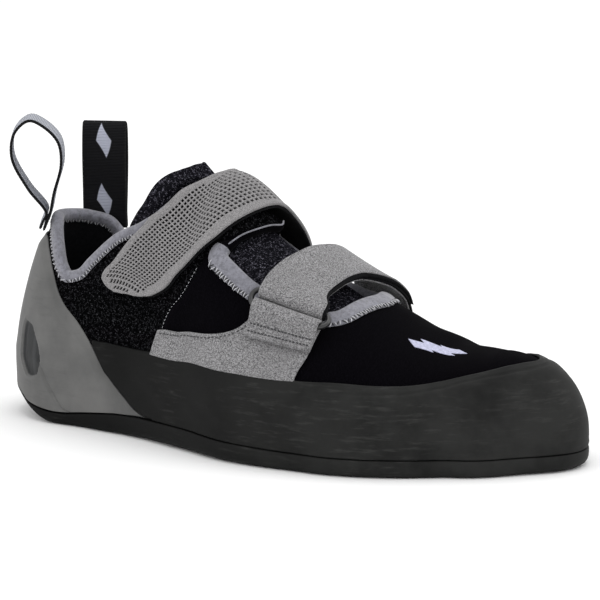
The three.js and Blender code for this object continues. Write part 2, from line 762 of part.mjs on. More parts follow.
// A pull loop: webbing bent over, both legs sewn one over the other on the outside of the collar.
function pullLoop(ring, height, path) {
  const foot = collarRib(ring);
  const edge = last(ring, foot);
  const way = normal(ring, foot);
  const outward = new THREE.Vector3(way.x, way.y, 0).normalize();
  const across = new THREE.Vector3(0, 0, 1).cross(outward);
  const down = last(ring, foot - 0.06).sub(edge).normalize();
  const near = EDGE_GAP + BINDING_WALL + GAP + LOOP_WALL / 2;
  const far = near + LOOP_WALL + GAP;
  const sewn = (lift, length) => edge.clone().addScaledVector(way, lift).addScaledVector(down, length);
  const free = path.out.map((share, i) => {
    const up = new THREE.Vector3(0, 0, path.up[i] * height);
    return edge.clone().addScaledVector(outward, share * height + near).add(up);
  });
  const spine = [sewn(near, LOOP_FOOT), sewn(near, LOOP_FOOT / 2), sewn(near, 0), ...free, sewn(far, 0),
    sewn(far, LOOP_FOOT / 2), sewn(far, LOOP_FOOT)];
  const bend = new THREE.CatmullRomCurve3(spine, false, "centripetal");
  const centre = bend.getPoints(LOOP_PARTS);
  const lines = [-0.5, 0, 0.5].map((share) => {
    const points = centre.map((point) => point.clone().addScaledVector(across, share * LOOP_WIDTH));
    return thick(points, across);
  });
  return band(lines, LOOP_WALL);
}

// The insole's and the outsole's outline is the last's feather edge, moved out or in.
const featherReach = (f) => f.reach - f.tuck;
// The feather line's height carried in from the edge to the spine, where all ribs of a fan share one height.
function floorOf(f, reach) {
  const spine = sizeOf("low", clamp(f.at, HEEL_FAN, TOE_FAN)) * SOLE_HEIGHT;
  return mix(spine, f.low, (reach / f.reach) ** 2);
}

function insole() {
  const loops = RINGS.map((ring) => {
    const f = ribFacts(ring);
    const edge = featherReach(f) - UPPER_WALL - GAP;
    return [
      out(f, 0, floorOf(f, 0) + INSOLE_HEIGHT),
      out(f, 0.5 * edge, floorOf(f, 0.5 * edge) + INSOLE_HEIGHT),
      out(f, edge - INSOLE_BEVEL, floorOf(f, edge - INSOLE_BEVEL) + INSOLE_HEIGHT),
      out(f, edge, floorOf(f, edge) + INSOLE_HEIGHT - INSOLE_BEVEL),
      out(f, edge, floorOf(f, edge)),
      out(f, 0.5 * edge, floorOf(f, 0.5 * edge)),
      out(f, 0, floorOf(f, 0)),
    ];
  });
  const spine = loops[0].length - 1;
  return loft(loops, "round", (i, k) => k !== spine);
}

// The tread's height over the floor: flat under heel and ball, raised at the arch, curled at both ends.
function tread(x, y) {
  const heel = HEEL_SPRING * smooth(0.1 * LAST_LENGTH, -0.01 * LAST_LENGTH, x);
  const toe = TOE_SPRING * smooth(0.88 * LAST_LENGTH, 1.01 * LAST_LENGTH, x);
  const along = x / LAST_LENGTH;
  const arch = smooth(0.2, 0.36, along) * smooth(0.58, 0.42, along);
  return heel + toe + arch * mix(ARCH_OUTER, ARCH_INNER, smooth(-0.3 * BALL_WIDTH, 0.3 * BALL_WIDTH, y));
}

function outsole() {
  const loops = RINGS.map((ring) => {
    const f = ribFacts(ring);
    const rim = f.reach + GAP + RAND_WALL;
    const top = f.low - GAP;
    const under = (reach) => out(f, reach, floorOf(f, reach) - GAP);
    const at = (reach, lift) => {
      const p = out(f, reach, 0);
      p.z = tread(p.x, p.y) + lift;
      return p;
    };
    const edge = out(f, rim, 0);
    const side = top - tread(edge.x, edge.y);
    return [
      under(0),
      under(0.5 * f.reach),
      out(f, rim - RIM_BEVEL, top),
      out(f, rim, top - Math.min(RIM_BEVEL, 0.3 * side)),
      at(rim, 0.45 * side),
      at(rim - 0.35 * TREAD_BEVEL, 0.2 * side),
      at(rim - TREAD_BEVEL, 0),
      at(0.5 * f.reach, 0),
      at(0, 0),
    ];
  });
  const spine = loops[0].length - 1;
  return loft(loops, "round", (i, k) => k !== spine);
}

// Rands hug the upper, and below its widest place their outer faces go straight down to the sole's rim.
function randInside(ring, rib) {
  if (rib >= GIRTH) return skin(ring, rib, GAP);
  const f = ribFacts(ring);
  const p = last(ring, rib);
  return p.add(out(f, 1, 0).sub(out(f, 0, 0)).multiplyScalar(mix(FOOT_GAP, GAP, rib / GIRTH)));
}

function randOutside(ring, rib) {
  if (rib >= GIRTH) return skin(ring, rib, GAP + RAND_WALL);
  const f = ribFacts(ring);
  return out(f, f.reach + GAP + RAND_WALL, last(ring, rib).z);
}

// The black rand's foot follows the grey heel rand's front edge.
function toeRand() {
  const foot = (ring) => {
    const front = lineRib(HEEL_RAND_TOP, ring) + RAND_SEAM;
    return stationOf(wrap(ring)) < HEEL_RAND_END + 0.005 ? front : 0;
  };
  const rings = ringsBetween(RAND_START, 2 - RAND_START);
  return sheet(rings, foot, (ring) => lineRib(RAND_TOP, ring), randInside, randOutside);
}

function heelRand() {
  const rings = ringsBetween(-HEEL_RAND_END, HEEL_RAND_END);
  const rand = sheet(rings, () => 0, (ring) => lineRib(HEEL_RAND_TOP, ring), randInside, randOutside);
  return rand.subtract(plug(HEEL_WINDOW, 1, 0, CUT_DEPTH)).subtract(plug(HEEL_WINDOW, -1, 0, CUT_DEPTH));
}

// A prism on an outline drawn on the last, to cut with: on the outer side for 1 and the inner for -1.
function plug(line, side, low, high) {
  const outline = (lift) => line.at.map((at, i) => skin(side * at, line.rib[i], lift));
  const [under, above] = [outline(low), outline(high)];
  const count = under.length;
  const middle = (points) => points.reduce((sum, p) => sum.clone().add(p)).divideScalar(count);
  const faces = [];
  for (let i = 0; i < count; i += 1) {
    const next = (i + 1) % count;
    faces.push([i, next, count + next], [i, count + next, count + i]);
    faces.push([next, i, 2 * count], [count + i, count + next, 2 * count + 1]);
  }
  return solid([...under, ...above, middle(under), middle(above)], faces);
}

function overlay() {
  const foot = (ring) => lineRib(RAND_TOP, ring) + OVERLAY_SEAM;
  const rings = ringsBetween(OVERLAY_TOP.at[0], OVERLAY_TOP.at.at(-1));
  return sheet(
    rings,
    foot,
    (ring) => lineRib(OVERLAY_TOP, ring),
    (ring, rib) => skin(ring, rib, EDGE_GAP),
    (ring, rib) => skin(ring, rib, EDGE_GAP + OVERLAY_WALL),
  );
}

// The tongue lies deep under the collar and the vamp, and its top edge stands up behind the collar.
function tongue() {
  const deep = -UPPER_WALL - EDGE_GAP - BINDING_WALL - 2 * GAP;
  const loops = steps(-TONGUE_ASIDE, TONGUE_ASIDE, 18).map((aside) => {
    const back = curve(TONGUE_TOP.aside, TONGUE_TOP.back, Math.abs(aside));
    const rise = TONGUE_RISE * smooth(0.38, 0.26, Math.abs(aside));
    const raised = (at) => deep + rise * smooth(TONGUE_STAND / SPINE_RATE, 0, at - back);
    const bend = TONGUE_BEND.map((step) => back + step);
    const ats = [...bend, ...steps(back + TONGUE_FLAT, TONGUE_FRONT, 6)];
    return [
      ...ats.map((at) => over(at, aside, raised(at))),
      ...ats.reverse().map((at) => over(at, aside, raised(at) - TONGUE_WALL)),
    ];
  });
  return loft(loops, "flat");
}

// Each piece with its colour, roughness and metalness.
const PIECES = {
  outsole: [outsole(), 0x2b2b2d, 0.75, 0],
  insole: [insole(), 0x3c3c40, 0.95, 0],
  upper: [upper(), 0x17171a, 0.9, 0],
  tongue: [tongue(), 0x1c1c1f, 0.95, 0],
  toe_rand: [toeRand(), 0x303032, 0.7, 0],
  heel_rand: [heelRand(), 0x79787b, 0.7, 0],
  side_overlay: [overlay(), 0x88888c, 0.95, 0],
  collar_binding: [collarBinding(), 0x92919b, 0.9, 0],
  throat_binding: [throatBinding(), 0x92919b, 0.9, 0],
  strap_top: [ankleStrap(), 0x88878b, 0.95, 0],
  strap_front: [toeStrap(), 0x86868a, 0.95, 0],
  ring_keeper: [ringKeeper(), 0x86868a, 0.95, 0],
  ring: [ring(), 0x18181a, 0.4, 1],
  pull_loop_lateral: [pullLoop(OUTER_LOOP_PLACE, LOOP_HEIGHT_OUTER, OUTER_LOOP), 0x141416, 0.9, 0],
  pull_loop_medial: [pullLoop(INNER_LOOP_PLACE, LOOP_HEIGHT_INNER, INNER_LOOP), 0x141416, 0.9, 0],
};

// The shoe stands on its tread at height zero, with the middle of its bounding box over the origin.
const shoe = new THREE.Group();
const box = new THREE.Box3();
const geometries = Object.entries(PIECES).map(([name, [made]]) => {
  const mesh = made.getMesh();
  const geometry = new THREE.BufferGeometry();
  geometry.setAttribute("position", new THREE.BufferAttribute(new Float32Array(mesh.vertProperties), 3));
  geometry.setIndex(new THREE.BufferAttribute(new Uint32Array(mesh.triVerts), 1));
  geometry.computeBoundingBox();
  box.union(geometry.boundingBox);
  return [name, geometry];
});
for (const [name, geometry] of geometries) {
  geometry.translate(-(box.min.x + box.max.x) / 2, -(box.min.y + box.max.y) / 2, -box.min.z);
  geometry.computeVertexNormals();
  const [, color, roughness, metalness] = PIECES[name];
  const piece = new THREE.Mesh(geometry, new THREE.MeshStandardMaterial({ color, roughness, metalness }));
  piece.name = name;
  shoe.add(piece);
}

export default shoe;
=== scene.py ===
import bpy
import numpy as np
from math import cos, pi, radians, sin
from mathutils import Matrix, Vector
from types import SimpleNamespace


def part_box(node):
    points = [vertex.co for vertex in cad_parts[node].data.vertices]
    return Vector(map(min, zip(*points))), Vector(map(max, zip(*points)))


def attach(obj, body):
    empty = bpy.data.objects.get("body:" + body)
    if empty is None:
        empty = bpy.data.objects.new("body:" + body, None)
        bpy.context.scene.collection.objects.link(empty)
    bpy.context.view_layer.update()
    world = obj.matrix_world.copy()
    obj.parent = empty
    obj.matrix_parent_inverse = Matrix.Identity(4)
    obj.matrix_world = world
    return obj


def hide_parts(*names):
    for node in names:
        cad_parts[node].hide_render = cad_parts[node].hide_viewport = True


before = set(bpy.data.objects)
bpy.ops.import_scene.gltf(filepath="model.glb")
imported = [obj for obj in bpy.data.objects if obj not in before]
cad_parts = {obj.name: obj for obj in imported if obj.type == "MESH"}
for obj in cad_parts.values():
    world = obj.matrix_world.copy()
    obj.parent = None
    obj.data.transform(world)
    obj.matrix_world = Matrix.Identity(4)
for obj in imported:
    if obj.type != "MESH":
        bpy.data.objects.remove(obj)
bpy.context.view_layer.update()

# Driving sizes of the last in millimetres, as in the part's source.
LAST_LENGTH = 239
HEEL_WIDTH = 60
BALL_WIDTH = 88
INSTEP_HEIGHT = 97
TOE_HEIGHT = 38
GIRTH_HEIGHT = 34
SOLE_HEIGHT = 7
FEATHER_TUCK = 4

# Walls, gaps and thicknesses.
GAP = 0.4
EDGE_GAP = 0.6
UPPER_WALL = 2
RAND_LIFT = 2.3
RAND_SEAT = 0.35
RAND_ROUND = 0.7
OVERLAY_WALL = 1.2
TONGUE_WALL = 1.8
INSOLE_HEIGHT = 3
INSOLE_BEVEL = 0.8
INSOLE_UNDERCUT = 0.5
BINDING_WALL = 0.9
BINDING_WIDTH = 6.6
COLLAR_WIDTH = 3.7
PIPING_WIDTH = 1.7

# The sole's curves on the floor.
HEEL_SPRING = 11
TOE_SPRING = 0.5
ARCH_OUTER = 0.6
ARCH_INNER = 3.5

# Ring stations run from 0, the heel's back, to 1, the toe's tip, on each side.
HEEL_FAN = 0.17
TOE_FAN = 0.83
GIRTH = 0.25
TUCK_ANGLE = radians(70)


def table(text):
    """Lines of text to an object with one array for each named column."""
    header, *rows = [line.split() for line in text.strip().splitlines()]
    return SimpleNamespace(**dict(zip(header, np.array(rows, float).T)))


# Sections of the last, as shares of the driving sizes.
LAST = table("""
    at     ball  lateral medial low   wide   toe   rise   full  outer inner swing
    0.000  0.00  0.565   0.565  1.75  0.783  0.00  1.080  1.45  2.20  2.20  0.000
    0.085  0.00  0.497   0.497  1.45  0.753  0.00  1.100  1.45  1.50  1.50  0.000
    0.170  0.00  0.444   0.444  1.26  0.693  0.00  1.180  1.45  1.00  1.00  0.000
    0.266  0.25  0.447   0.435  1.25  0.700  0.00  1.280  1.60  1.00  1.25  0.000
    0.402  0.50  0.547   0.415  1.28  0.640  0.00  1.010  1.65  1.00  1.50  0.000
    0.505  0.75  0.622   0.394  1.14  0.580  0.30  1.000  1.75  1.00  1.25  0.014
    0.608  1.00  0.598   0.386  1.03  0.520  0.58  1.000  1.85  1.00  1.00  0.035
    0.655  1.00  0.604   0.388  1.01  0.490  0.68  1.000  1.93  1.00  1.00  0.044
    0.700  1.00  0.590   0.382  1.00  0.470  0.79  1.000  2.02  1.00  1.00  0.058
    0.762  1.00  0.535   0.354  1.00  0.440  0.90  1.000  2.20  1.00  1.00  0.080
    0.830  1.00  0.430   0.326  1.00  0.294  1.00  1.104  2.09  1.00  1.00  0.100
    0.915  1.00  0.332   0.335  1.00  0.294  1.00  1.104  2.19  1.00  1.00  0.100
    1.000  1.00  0.384   0.384  1.00  0.294  1.00  1.104  2.19  1.00  1.00  0.100
""")

# Lines on the last, as heights along the ribs at each station.
COLLAR_OUTER = table("""
    at     rib
    0.000  0.668
    0.035  0.667
    0.060  0.660
    0.090  0.633
    0.117  0.592
    0.147  0.533
    0.164  0.513
    0.183  0.515
    0.203  0.533
    0.242  0.560
    0.283  0.588
    0.312  0.636
    0.338  0.720
    0.363  0.843
    0.387  1.000
""")
COLLAR_INNER = table("""
    at     rib
    0.000  0.668
    0.054  0.660
    0.105  0.640
    0.140  0.615
    0.166  0.575
    0.190  0.535
    0.214  0.522
    0.239  0.538
    0.268  0.575
    0.296  0.620
    0.312  0.652
    0.337  0.730
    0.362  0.850
    0.387  1.000
""")
RAND_TOP = table("""
    at     rib
    0.222  0.350
    0.240  0.345
    0.280  0.338
    0.310  0.342
    0.341  0.353
    0.373  0.364
    0.505  0.401
    0.606  0.439
    0.686  0.496
    0.750  0.545
    0.793  0.630
    0.826  0.700
    0.878  0.754
    0.968  0.788
    1.000  0.790
""")
HEEL_RAND_TOP = table("""
    at     rib
    0.000  0.610
    0.062  0.606
    0.100  0.570
    0.127  0.518
    0.150  0.466
    0.196  0.391
    0.240  0.287
    0.279  0.143
    0.309  0.043
    0.338  0.004
""")
HEEL_WINDOW = table("""
    at     rib
    0.081  0.386
    0.104  0.378
    0.121  0.325
    0.127  0.269
    0.125  0.190
    0.112  0.158
    0.097  0.153
    0.084  0.213
    0.076  0.311
    0.076  0.365
""")
OVERLAY_TOP = table("""
    at     rib
    0.342  0.372
    0.347  0.400
    0.353  0.415
    0.400  0.439
    0.440  0.456
    0.467  0.478
    0.491  0.510
    0.504  0.537
    0.515  0.574
    0.522  0.592
    0.567  0.599
    0.613  0.606
""")
# The ledge on the heel rubber, by height along the rib.
HEEL_LEDGE = table("""
    rib    at
    0.000  0.182
    0.027  0.167
    0.088  0.154
    0.147  0.142
    0.223  0.130
    0.262  0.121
""")
# How far the sole's upper edge drops below the feather line round the heel, in millimetres.
HEEL_DROP = table("""
    at     drop
    0.000  0.0
    0.060  0.2
    0.085  1.5
    0.100  3.0
    0.150  4.0
    0.178  3.6
    0.200  2.8
    0.237  1.5
    0.270  0.5
    0.340  0.0
""")
# The seam between the mesh quarter and the smooth vamp, by height along the rib.
VAMP_SEAM = table("""
    rib    at
    0.000  0.340
    0.418  0.357
    0.476  0.368
    0.524  0.385
    0.650  0.413
    1.000  0.500
""")
# The throat's hole: distance aside from the ridge, and stations of its ends.
THROAT = table("""
    aside  back   front
    0.000  0.487  0.640
    0.062  0.480  0.636
    0.141  0.471  0.630
    0.231  0.455  0.621
    0.260  0.450  0.609
    0.297  0.443  0.585
    0.318  0.440  0.558
""")
TONGUE_TOP = table("""
    aside  back
    0.000  0.352
    0.100  0.345
    0.170  0.334
    0.220  0.322
    0.265  0.310
    0.310  0.298
    0.353  0.284
    0.385  0.269
    0.420  0.258
""")
TONGUE_FRONT = 0.707
# The straps' edges: distance aside, negative on the outer side, two stations, and the lift off the last.
ANKLE_STRAP = table("""
    aside   back   front  lift
    -0.549  0.268  0.285  1.9
    -0.541  0.257  0.311  1.9
    -0.530  0.249  0.326  1.9
    -0.518  0.244  0.339  1.9
    -0.505  0.248  0.348  1.9
    -0.492  0.259  0.356  1.9
    -0.466  0.273  0.368  1.9
    -0.434  0.288  0.378  2.0
    -0.395  0.305  0.393  2.0
    -0.362  0.315  0.406  2.1
    -0.329  0.328  0.417  2.2
    -0.287  0.338  0.429  2.3
    -0.238  0.347  0.438  2.5
    -0.152  0.365  0.451  2.9
    -0.072  0.377  0.460  3.4
    0.000   0.388  0.466  4.0
    0.100   0.391  0.472  4.2
    0.200   0.391  0.479  4.2
    0.300   0.388  0.484  3.8
    0.420   0.380  0.482  2.6
    0.600   0.366  0.470  0.4
""")
TOE_STRAP = table("""
    aside   back   front  lift
    -0.345  0.519  0.615  3.0
    -0.290  0.519  0.612  2.9
    -0.243  0.521  0.602  2.9
    -0.203  0.524  0.599  2.9
    -0.142  0.531  0.601  3.0
    -0.081  0.536  0.603  3.1
    0.000   0.544  0.608  3.3
    0.100   0.549  0.622  4.2
    0.200   0.552  0.634  5.0
    0.300   0.552  0.640  5.0
    0.400   0.552  0.640  3.6
    0.520   0.550  0.635  2.0
""")
RING_ASIDE = -0.344
RING_LEAN = 0.4
RING_REACH = 6.6
RING_MARGIN = 2.4
RING_LIFT = 5
RING_WIRE = 2.2
RING_CORNER = 3.2
TOE_STRAP_WALL = 1.8
TOE_STRAP_FREE = 0.36
KEEPER_WALL = 1.2
KEEPER_LENGTH = 11
KEEPER_FOOT = OVERLAY_WALL + 2 * GAP + KEEPER_WALL / 2
# The pull loops' paths over the collar, outward and upward as shares of their heights.
OUTER_LOOP = table("""
    out    up
    -0.05  0.24
    -0.13  0.55
    -0.10  0.78
    0.05   0.94
    0.20   1.00
    0.35   0.87
    0.38   0.62
    0.22   0.30
""")
INNER_LOOP = table("""
    out    up
    -0.02  0.30
    -0.04  0.65
    0.00   0.94
    0.04   0.99
    0.09   0.94
    0.12   0.62
    0.08   0.28
""")
OUTER_LOOP_PLACE, LOOP_HEIGHT_OUTER = 0.04, 39
INNER_LOOP_PLACE, LOOP_HEIGHT_INNER = -0.12, 38
LOOP_WIDTH = 18
LOOP_WALL = 1.1
SELVEDGE_WIDTH = 1.1
# The solid loop's own middle over its seat, and from its first layer to its second.
LOOP_MIDDLE = 0.6
LOOP_APART = 1.6
# Where the collar's edging ends, and the ends of the two rands' rings.
COLLAR_BOUND = 0.339
TOE_RAND_START = 0.222
HEEL_RAND_END = 0.345


def mix(a, b, t):
    return a + (b - a) * t


def smooth(low, high, x):
    t = np.clip((np.asarray(x, float) - low) / (high - low), 0, 1)
    return t * t * (3 - 2 * t)


def curve(keys, values, x):
    """A smooth curve through the points that never overshoots them."""
    width = np.diff(keys)
    slope = np.diff(values) / width
    tangent = np.zeros(len(keys))
    for i in range(1, len(keys) - 1):
        if slope[i - 1] * slope[i] > 0:
            before, after = width[i - 1], width[i]
            weight = (2 * after + before) / slope[i - 1] + (2 * before + after) / slope[i]
            tangent[i] = 3 * (before + after) / weight
    x = np.clip(np.asarray(x, float), keys[0], keys[-1])
    i = np.clip(np.searchsorted(keys, x, side="right") - 1, 0, len(keys) - 2)
    t = (x - keys[i]) / width[i]
    hill = t * t * (3 - 2 * t)
    start = tangent[i] * width[i] * t * (1 - t) ** 2
    end = tangent[i + 1] * width[i] * t * t * (t - 1)
    return values[i] * (1 - hill) + values[i + 1] * hill + start + end


HEEL_CENTRE = 0.5 * HEEL_WIDTH
TOE_CENTRE = LAST_LENGTH - LAST.lateral[-1] * BALL_WIDTH
SPINE_RATE = (TOE_CENTRE - HEEL_CENTRE) / (TOE_FAN - HEEL_FAN)


def size_of(name, at):
    return curve(LAST.at, getattr(LAST, name), at)


def station_of(ring):
    ring = np.mod(np.asarray(ring, float), 2)
    return np.where(ring <= 1, ring, 2 - ring)


def ridge_height(at):
    return mix(INSTEP_HEIGHT, TOE_HEIGHT, size_of("toe", at)) * size_of("rise", at)


TOE_SLOPE = float(ridge_height(TOE_FAN) - ridge_height(TOE_FAN - 0.02)) / (0.02 * SPINE_RATE)


def rib_facts(ring):
    """Where a rib stands on the spine, which way it faces, and its heights and reach."""
    ring = np.mod(np.asarray(ring, float), 2)
    outer = ring <= 1
    at = station_of(ring)
    width = mix(HEEL_WIDTH, BALL_WIDTH, size_of("ball", at))
    heel_turn = np.clip(at / HEEL_FAN - 1, -1, 0)
    toe_turn = np.clip((at - TOE_FAN) / (1 - TOE_FAN), 0, 1)
    return SimpleNamespace(
        at=at,
        side=np.where(outer, -1.0, 1.0),
        x=np.clip(HEEL_CENTRE + (at - HEEL_FAN) * SPINE_RATE, HEEL_CENTRE, TOE_CENTRE),
        y=size_of("swing", at) * BALL_WIDTH,
        turn=(heel_turn + toe_turn) * pi / 2,
        reach=width * np.where(outer, size_of("lateral", at), size_of("medial", at)),
        tuck=FEATHER_TUCK * np.where(outer, size_of("outer", at), size_of("inner", at)),
        low=size_of("low", at) * SOLE_HEIGHT,
        wide=size_of("wide", at) * GIRTH_HEIGHT,
        ridge=ridge_height(at),
        full=size_of("full", at),
    )


def out(f, reach, height):
    """A point at distance reach out from the spine at a rib."""
    x = f.x + reach * np.sin(f.turn)
    y = f.y + f.side * reach * np.cos(f.turn)
    return np.stack(np.broadcast_arrays(x, y, height), -1)


def last(ring, rib):
    """The last's surface, at ring places and heights along their ribs."""
    ring, rib = np.broadcast_arrays(np.asarray(ring, float), np.asarray(rib, float))
    f = rib_facts(ring)
    angle = (1 - np.minimum(rib / GIRTH, 1)) * TUCK_ANGLE
    inward = (1 - np.cos(angle)) / (1 - cos(TUCK_ANGLE))
    under = out(f, f.reach - f.tuck * inward, f.wide - (f.wide - f.low) * np.sin(angle) / sin(TUCK_ANGLE))
    angle = np.clip((rib - GIRTH) / (1 - GIRTH), 0, 1) * pi / 2
    reach = f.reach * np.maximum(np.cos(angle), 0) ** (2 / f.full)
    dip = np.where(f.at > TOE_FAN, TOE_SLOPE * reach * np.sin(f.turn) * (1 - reach / f.reach) ** 2, 0)
    dome = out(f, reach, f.wide + (f.ridge - f.wide) * np.sin(angle) ** (2 / f.full) + dip)
    return np.where((rib <= GIRTH)[..., None], under, dome)


NUDGE = 1e-3


def unit(v):
    return v / np.maximum(np.linalg.norm(v, axis=-1, keepdims=True), 1e-9)


def normal(ring, rib):
    """The way out of the last's surface. At the ridge both sides share one direction."""
    ring, rib = np.broadcast_arrays(np.asarray(ring, float), np.asarray(rib, float))
    along = last(ring + NUDGE, rib) - last(ring - NUDGE, rib)
    up = last(ring, np.minimum(rib + NUDGE, 1)) - last(ring, np.maximum(rib - NUDGE, 0))
    side = unit(np.cross(along, up))
    at = np.minimum(station_of(ring), TOE_FAN)
    ahead = last(at + NUDGE, 1) - last(at - NUDGE, 1)
    crest = unit(np.stack([-ahead[..., 2], 0 * at, ahead[..., 0]], -1))
    return np.where((rib > 1 - 2 * NUDGE)[..., None], crest, side)


def skin(ring, rib, lift):
    """A point lifted off the last by some millimetres."""
    return last(ring, rib) + normal(ring, rib) * np.asarray(lift, float)[..., None]


def over(at, aside, lift):
    """The same, by station and by distance aside from the ridge, negative on the outer side."""
    at, aside = np.broadcast_arrays(np.asarray(at, float), np.asarray(aside, float))
    return skin(np.where(aside < 0, at, 2 - at), 1 - np.abs(aside), lift)


def collar_rib(ring):
    at = station_of(ring)
    outer = np.mod(np.asarray(ring, float), 2) <= 1
    lines = [curve(line.at, line.rib, at) for line in (COLLAR_OUTER, COLLAR_INNER)]
    return np.where(outer, *lines)


def line_rib(line, ring):
    return curve(line.at, line.rib, station_of(ring))


def tread(x, y):
    """The tread's height over the floor."""
    along = x / LAST_LENGTH
    heel = HEEL_SPRING * smooth(0.1, -0.01, along)
    toe = TOE_SPRING * smooth(0.88, 1.01, along)
    arch = smooth(0.2, 0.36, along) * smooth(0.58, 0.42, along)
    return heel + toe + arch * mix(ARCH_OUTER, ARCH_INNER, smooth(-0.3 * BALL_WIDTH, 0.3 * BALL_WIDTH, y))


# The last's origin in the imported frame: its heel is the upper's back end.
ALL_ROUND = np.linspace(0, 2, 600, endpoint=False)
WIDEST = last(ALL_ROUND, GIRTH)
BOX_LOW, BOX_HIGH = (np.array(corner) * 1000 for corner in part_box("upper"))
ACROSS = (BOX_LOW[1] + BOX_HIGH[1] - WIDEST[:, 1].min() - WIDEST[:, 1].max()) / 2
ORIGIN = np.array([BOX_LOW[0] - WIDEST[:, 0].min(), ACROSS, 0])


def metres(points):
    return (np.asarray(points) + ORIGIN) / 1000


# Meshes.


def weld(points, quads):
    """Joins vertices that coincide. Returns the kept points and each quad's new corners."""
    keys = np.round(points * 2000).astype(np.int64)
    _, first, index = np.unique(keys, axis=0, return_index=True, return_inverse=True)
    return points[first], index.reshape(-1)[quads], first


def mesh_piece(name, slot, points, quads, materials, tags=None, chart=None, extra=None, covers=True):
    """A Blender mesh from points in millimetres and quads. tags: each face's material. chart: each
    point's UV. extra: a name and a value for each point. covers: it stands for its slot's CAD node."""
    welded, corners, first = weld(points, quads)
    keep = corners != np.roll(corners, 1, axis=1)
    whole = keep.sum(1) > 2
    corners, keep, quads = corners[whole], keep[whole], quads[whole]
    a, b, c = welded[np.concatenate([corners[:, [0, 1, 2]], corners[:, [0, 2, 3]]]).T]
    if np.einsum("ij,ij->i", a, np.cross(b, c)).sum() < 0:
        corners, keep, quads = corners[:, ::-1], keep[:, ::-1], quads[:, ::-1]
    mesh = bpy.data.meshes.new(name)
    mesh.from_pydata(metres(welded), [], [face[there].tolist() for face, there in zip(corners, keep)])
    mesh.shade_smooth()
    if tags is not None:
        mesh.polygons.foreach_set("material_index", tags[whole].astype(np.int32))
    if chart is not None:
        mesh.uv_layers.new(name="chart").data.foreach_set("uv", chart[quads[keep]].astype(np.float32).ravel())
    if extra:
        values = mesh.attributes.new(extra[0], "FLOAT", "POINT")
        values.data.foreach_set("value", extra[1][first].astype(np.float32))
    mesh.validate()
    for material in materials:
        mesh.materials.append(material)
    piece = bpy.data.objects.new(name, mesh)
    bpy.context.scene.collection.objects.link(piece)
    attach(piece, "root")
    if covers:
        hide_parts(slot)


OUTSIDE, INSIDE, RIM = 0, 1, 2


def slab(outer, inner, keep=None, loop=False, sealed=None):
    """A wall between two grids of points. keep: the cells that are there. sealed: where the last column
    has no rim, because it meets itself. Returns points, quads and each quad's side."""
    rows, columns = outer.shape[:2]
    index = np.arange(rows * columns).reshape(rows, columns)
    if loop:
        index = np.vstack([index, index[:1]])
    if keep is None:
        keep = np.ones((len(index) - 1, columns - 1), bool)
    a, b, c, d = index[:-1, :-1], index[1:, :-1], index[1:, 1:], index[:-1, 1:]
    under = rows * columns
    quads = [np.stack([a, b, c, d], -1)[keep], np.stack([d, c, b, a], -1)[keep] + under]
    padded = np.pad(keep, 1)
    if loop:
        padded[0, 1:-1], padded[-1, 1:-1] = keep[-1], keep[0]
    sides = [
        (padded[:-2, 1:-1], d, a),
        (padded[2:, 1:-1], b, c),
        (padded[1:-1, :-2], a, b),
        (padded[1:-1, 2:], c, d),
    ]
    for i, (beside, start, end) in enumerate(sides):
        open_edge = keep & ~beside
        if i == 3 and sealed is not None:
            open_edge[:, -1] &= ~sealed
        quads.append(np.stack([end, start, start + under, end + under], -1)[open_edge])
    tags = np.concatenate([np.full(len(q), min(i, RIM)) for i, q in enumerate(quads)])
    points = np.concatenate([outer.reshape(-1, 3), inner.reshape(-1, 3)])
    return points, np.concatenate(quads), tags


def run(points, axis):
    """Distances along a grid's lines, from their start."""
    step = np.linalg.norm(np.diff(points, axis=axis), axis=-1)
    zero = np.zeros_like(np.take(step, [0], axis))
    return np.concatenate([zero, np.cumsum(step, axis)], axis)


def rounded(outer, inner, radius):
    """The two grids drawn together near their borders, so that the wall's edge is round."""
    near = np.full(outer.shape[:2], np.inf)
    for axis in (0, 1):
        length = run(outer, axis)
        near = np.minimum(near, np.minimum(length, np.take(length, [-1], axis) - length))
    full = np.sqrt(1 - (1 - np.clip(near / radius, 0, 1)) ** 2)[..., None]
    middle = (outer + inner) / 2
    return middle + (outer - middle) * full, middle + (inner - middle) * full


def spread(start, end, count, crowd=0.6):
    """Values from start to end, closer together near both ends."""
    t = np.linspace(0, 1, count)
    return mix(start, end, mix(t, (1 - np.cos(pi * t)) / 2, crowd))


def chart_of(points):
    """A grid's own lengths in millimetres, for the weave, for both sides of its wall."""
    lengths = np.stack([run(points, 0).mean(1)[:, None] + 0 * points[..., 0], run(points, 1)], -1)
    return np.tile(lengths.reshape(-1, 2), (2, 1))


def resample(places, length, at):
    """Places along a line that has a length at each of its points."""
    return np.stack([np.interp(at, length, column) for column in places.T], -1)


def wall_piece(name, slot, outer, inner, radius, materials, keep=None, charted=True, extra=None, covers=True):
    """The piece between two grids, with round edges. A second material goes on its inner side."""
    outer, inner = rounded(outer, inner, radius)
    points, quads, tags = slab(outer, inner, keep)
    tags = tags == INSIDE if len(materials) > 1 else None
    chart = chart_of(outer) if charted else None
    mesh_piece(name, slot, points, quads, materials, tags, chart, extra, covers)


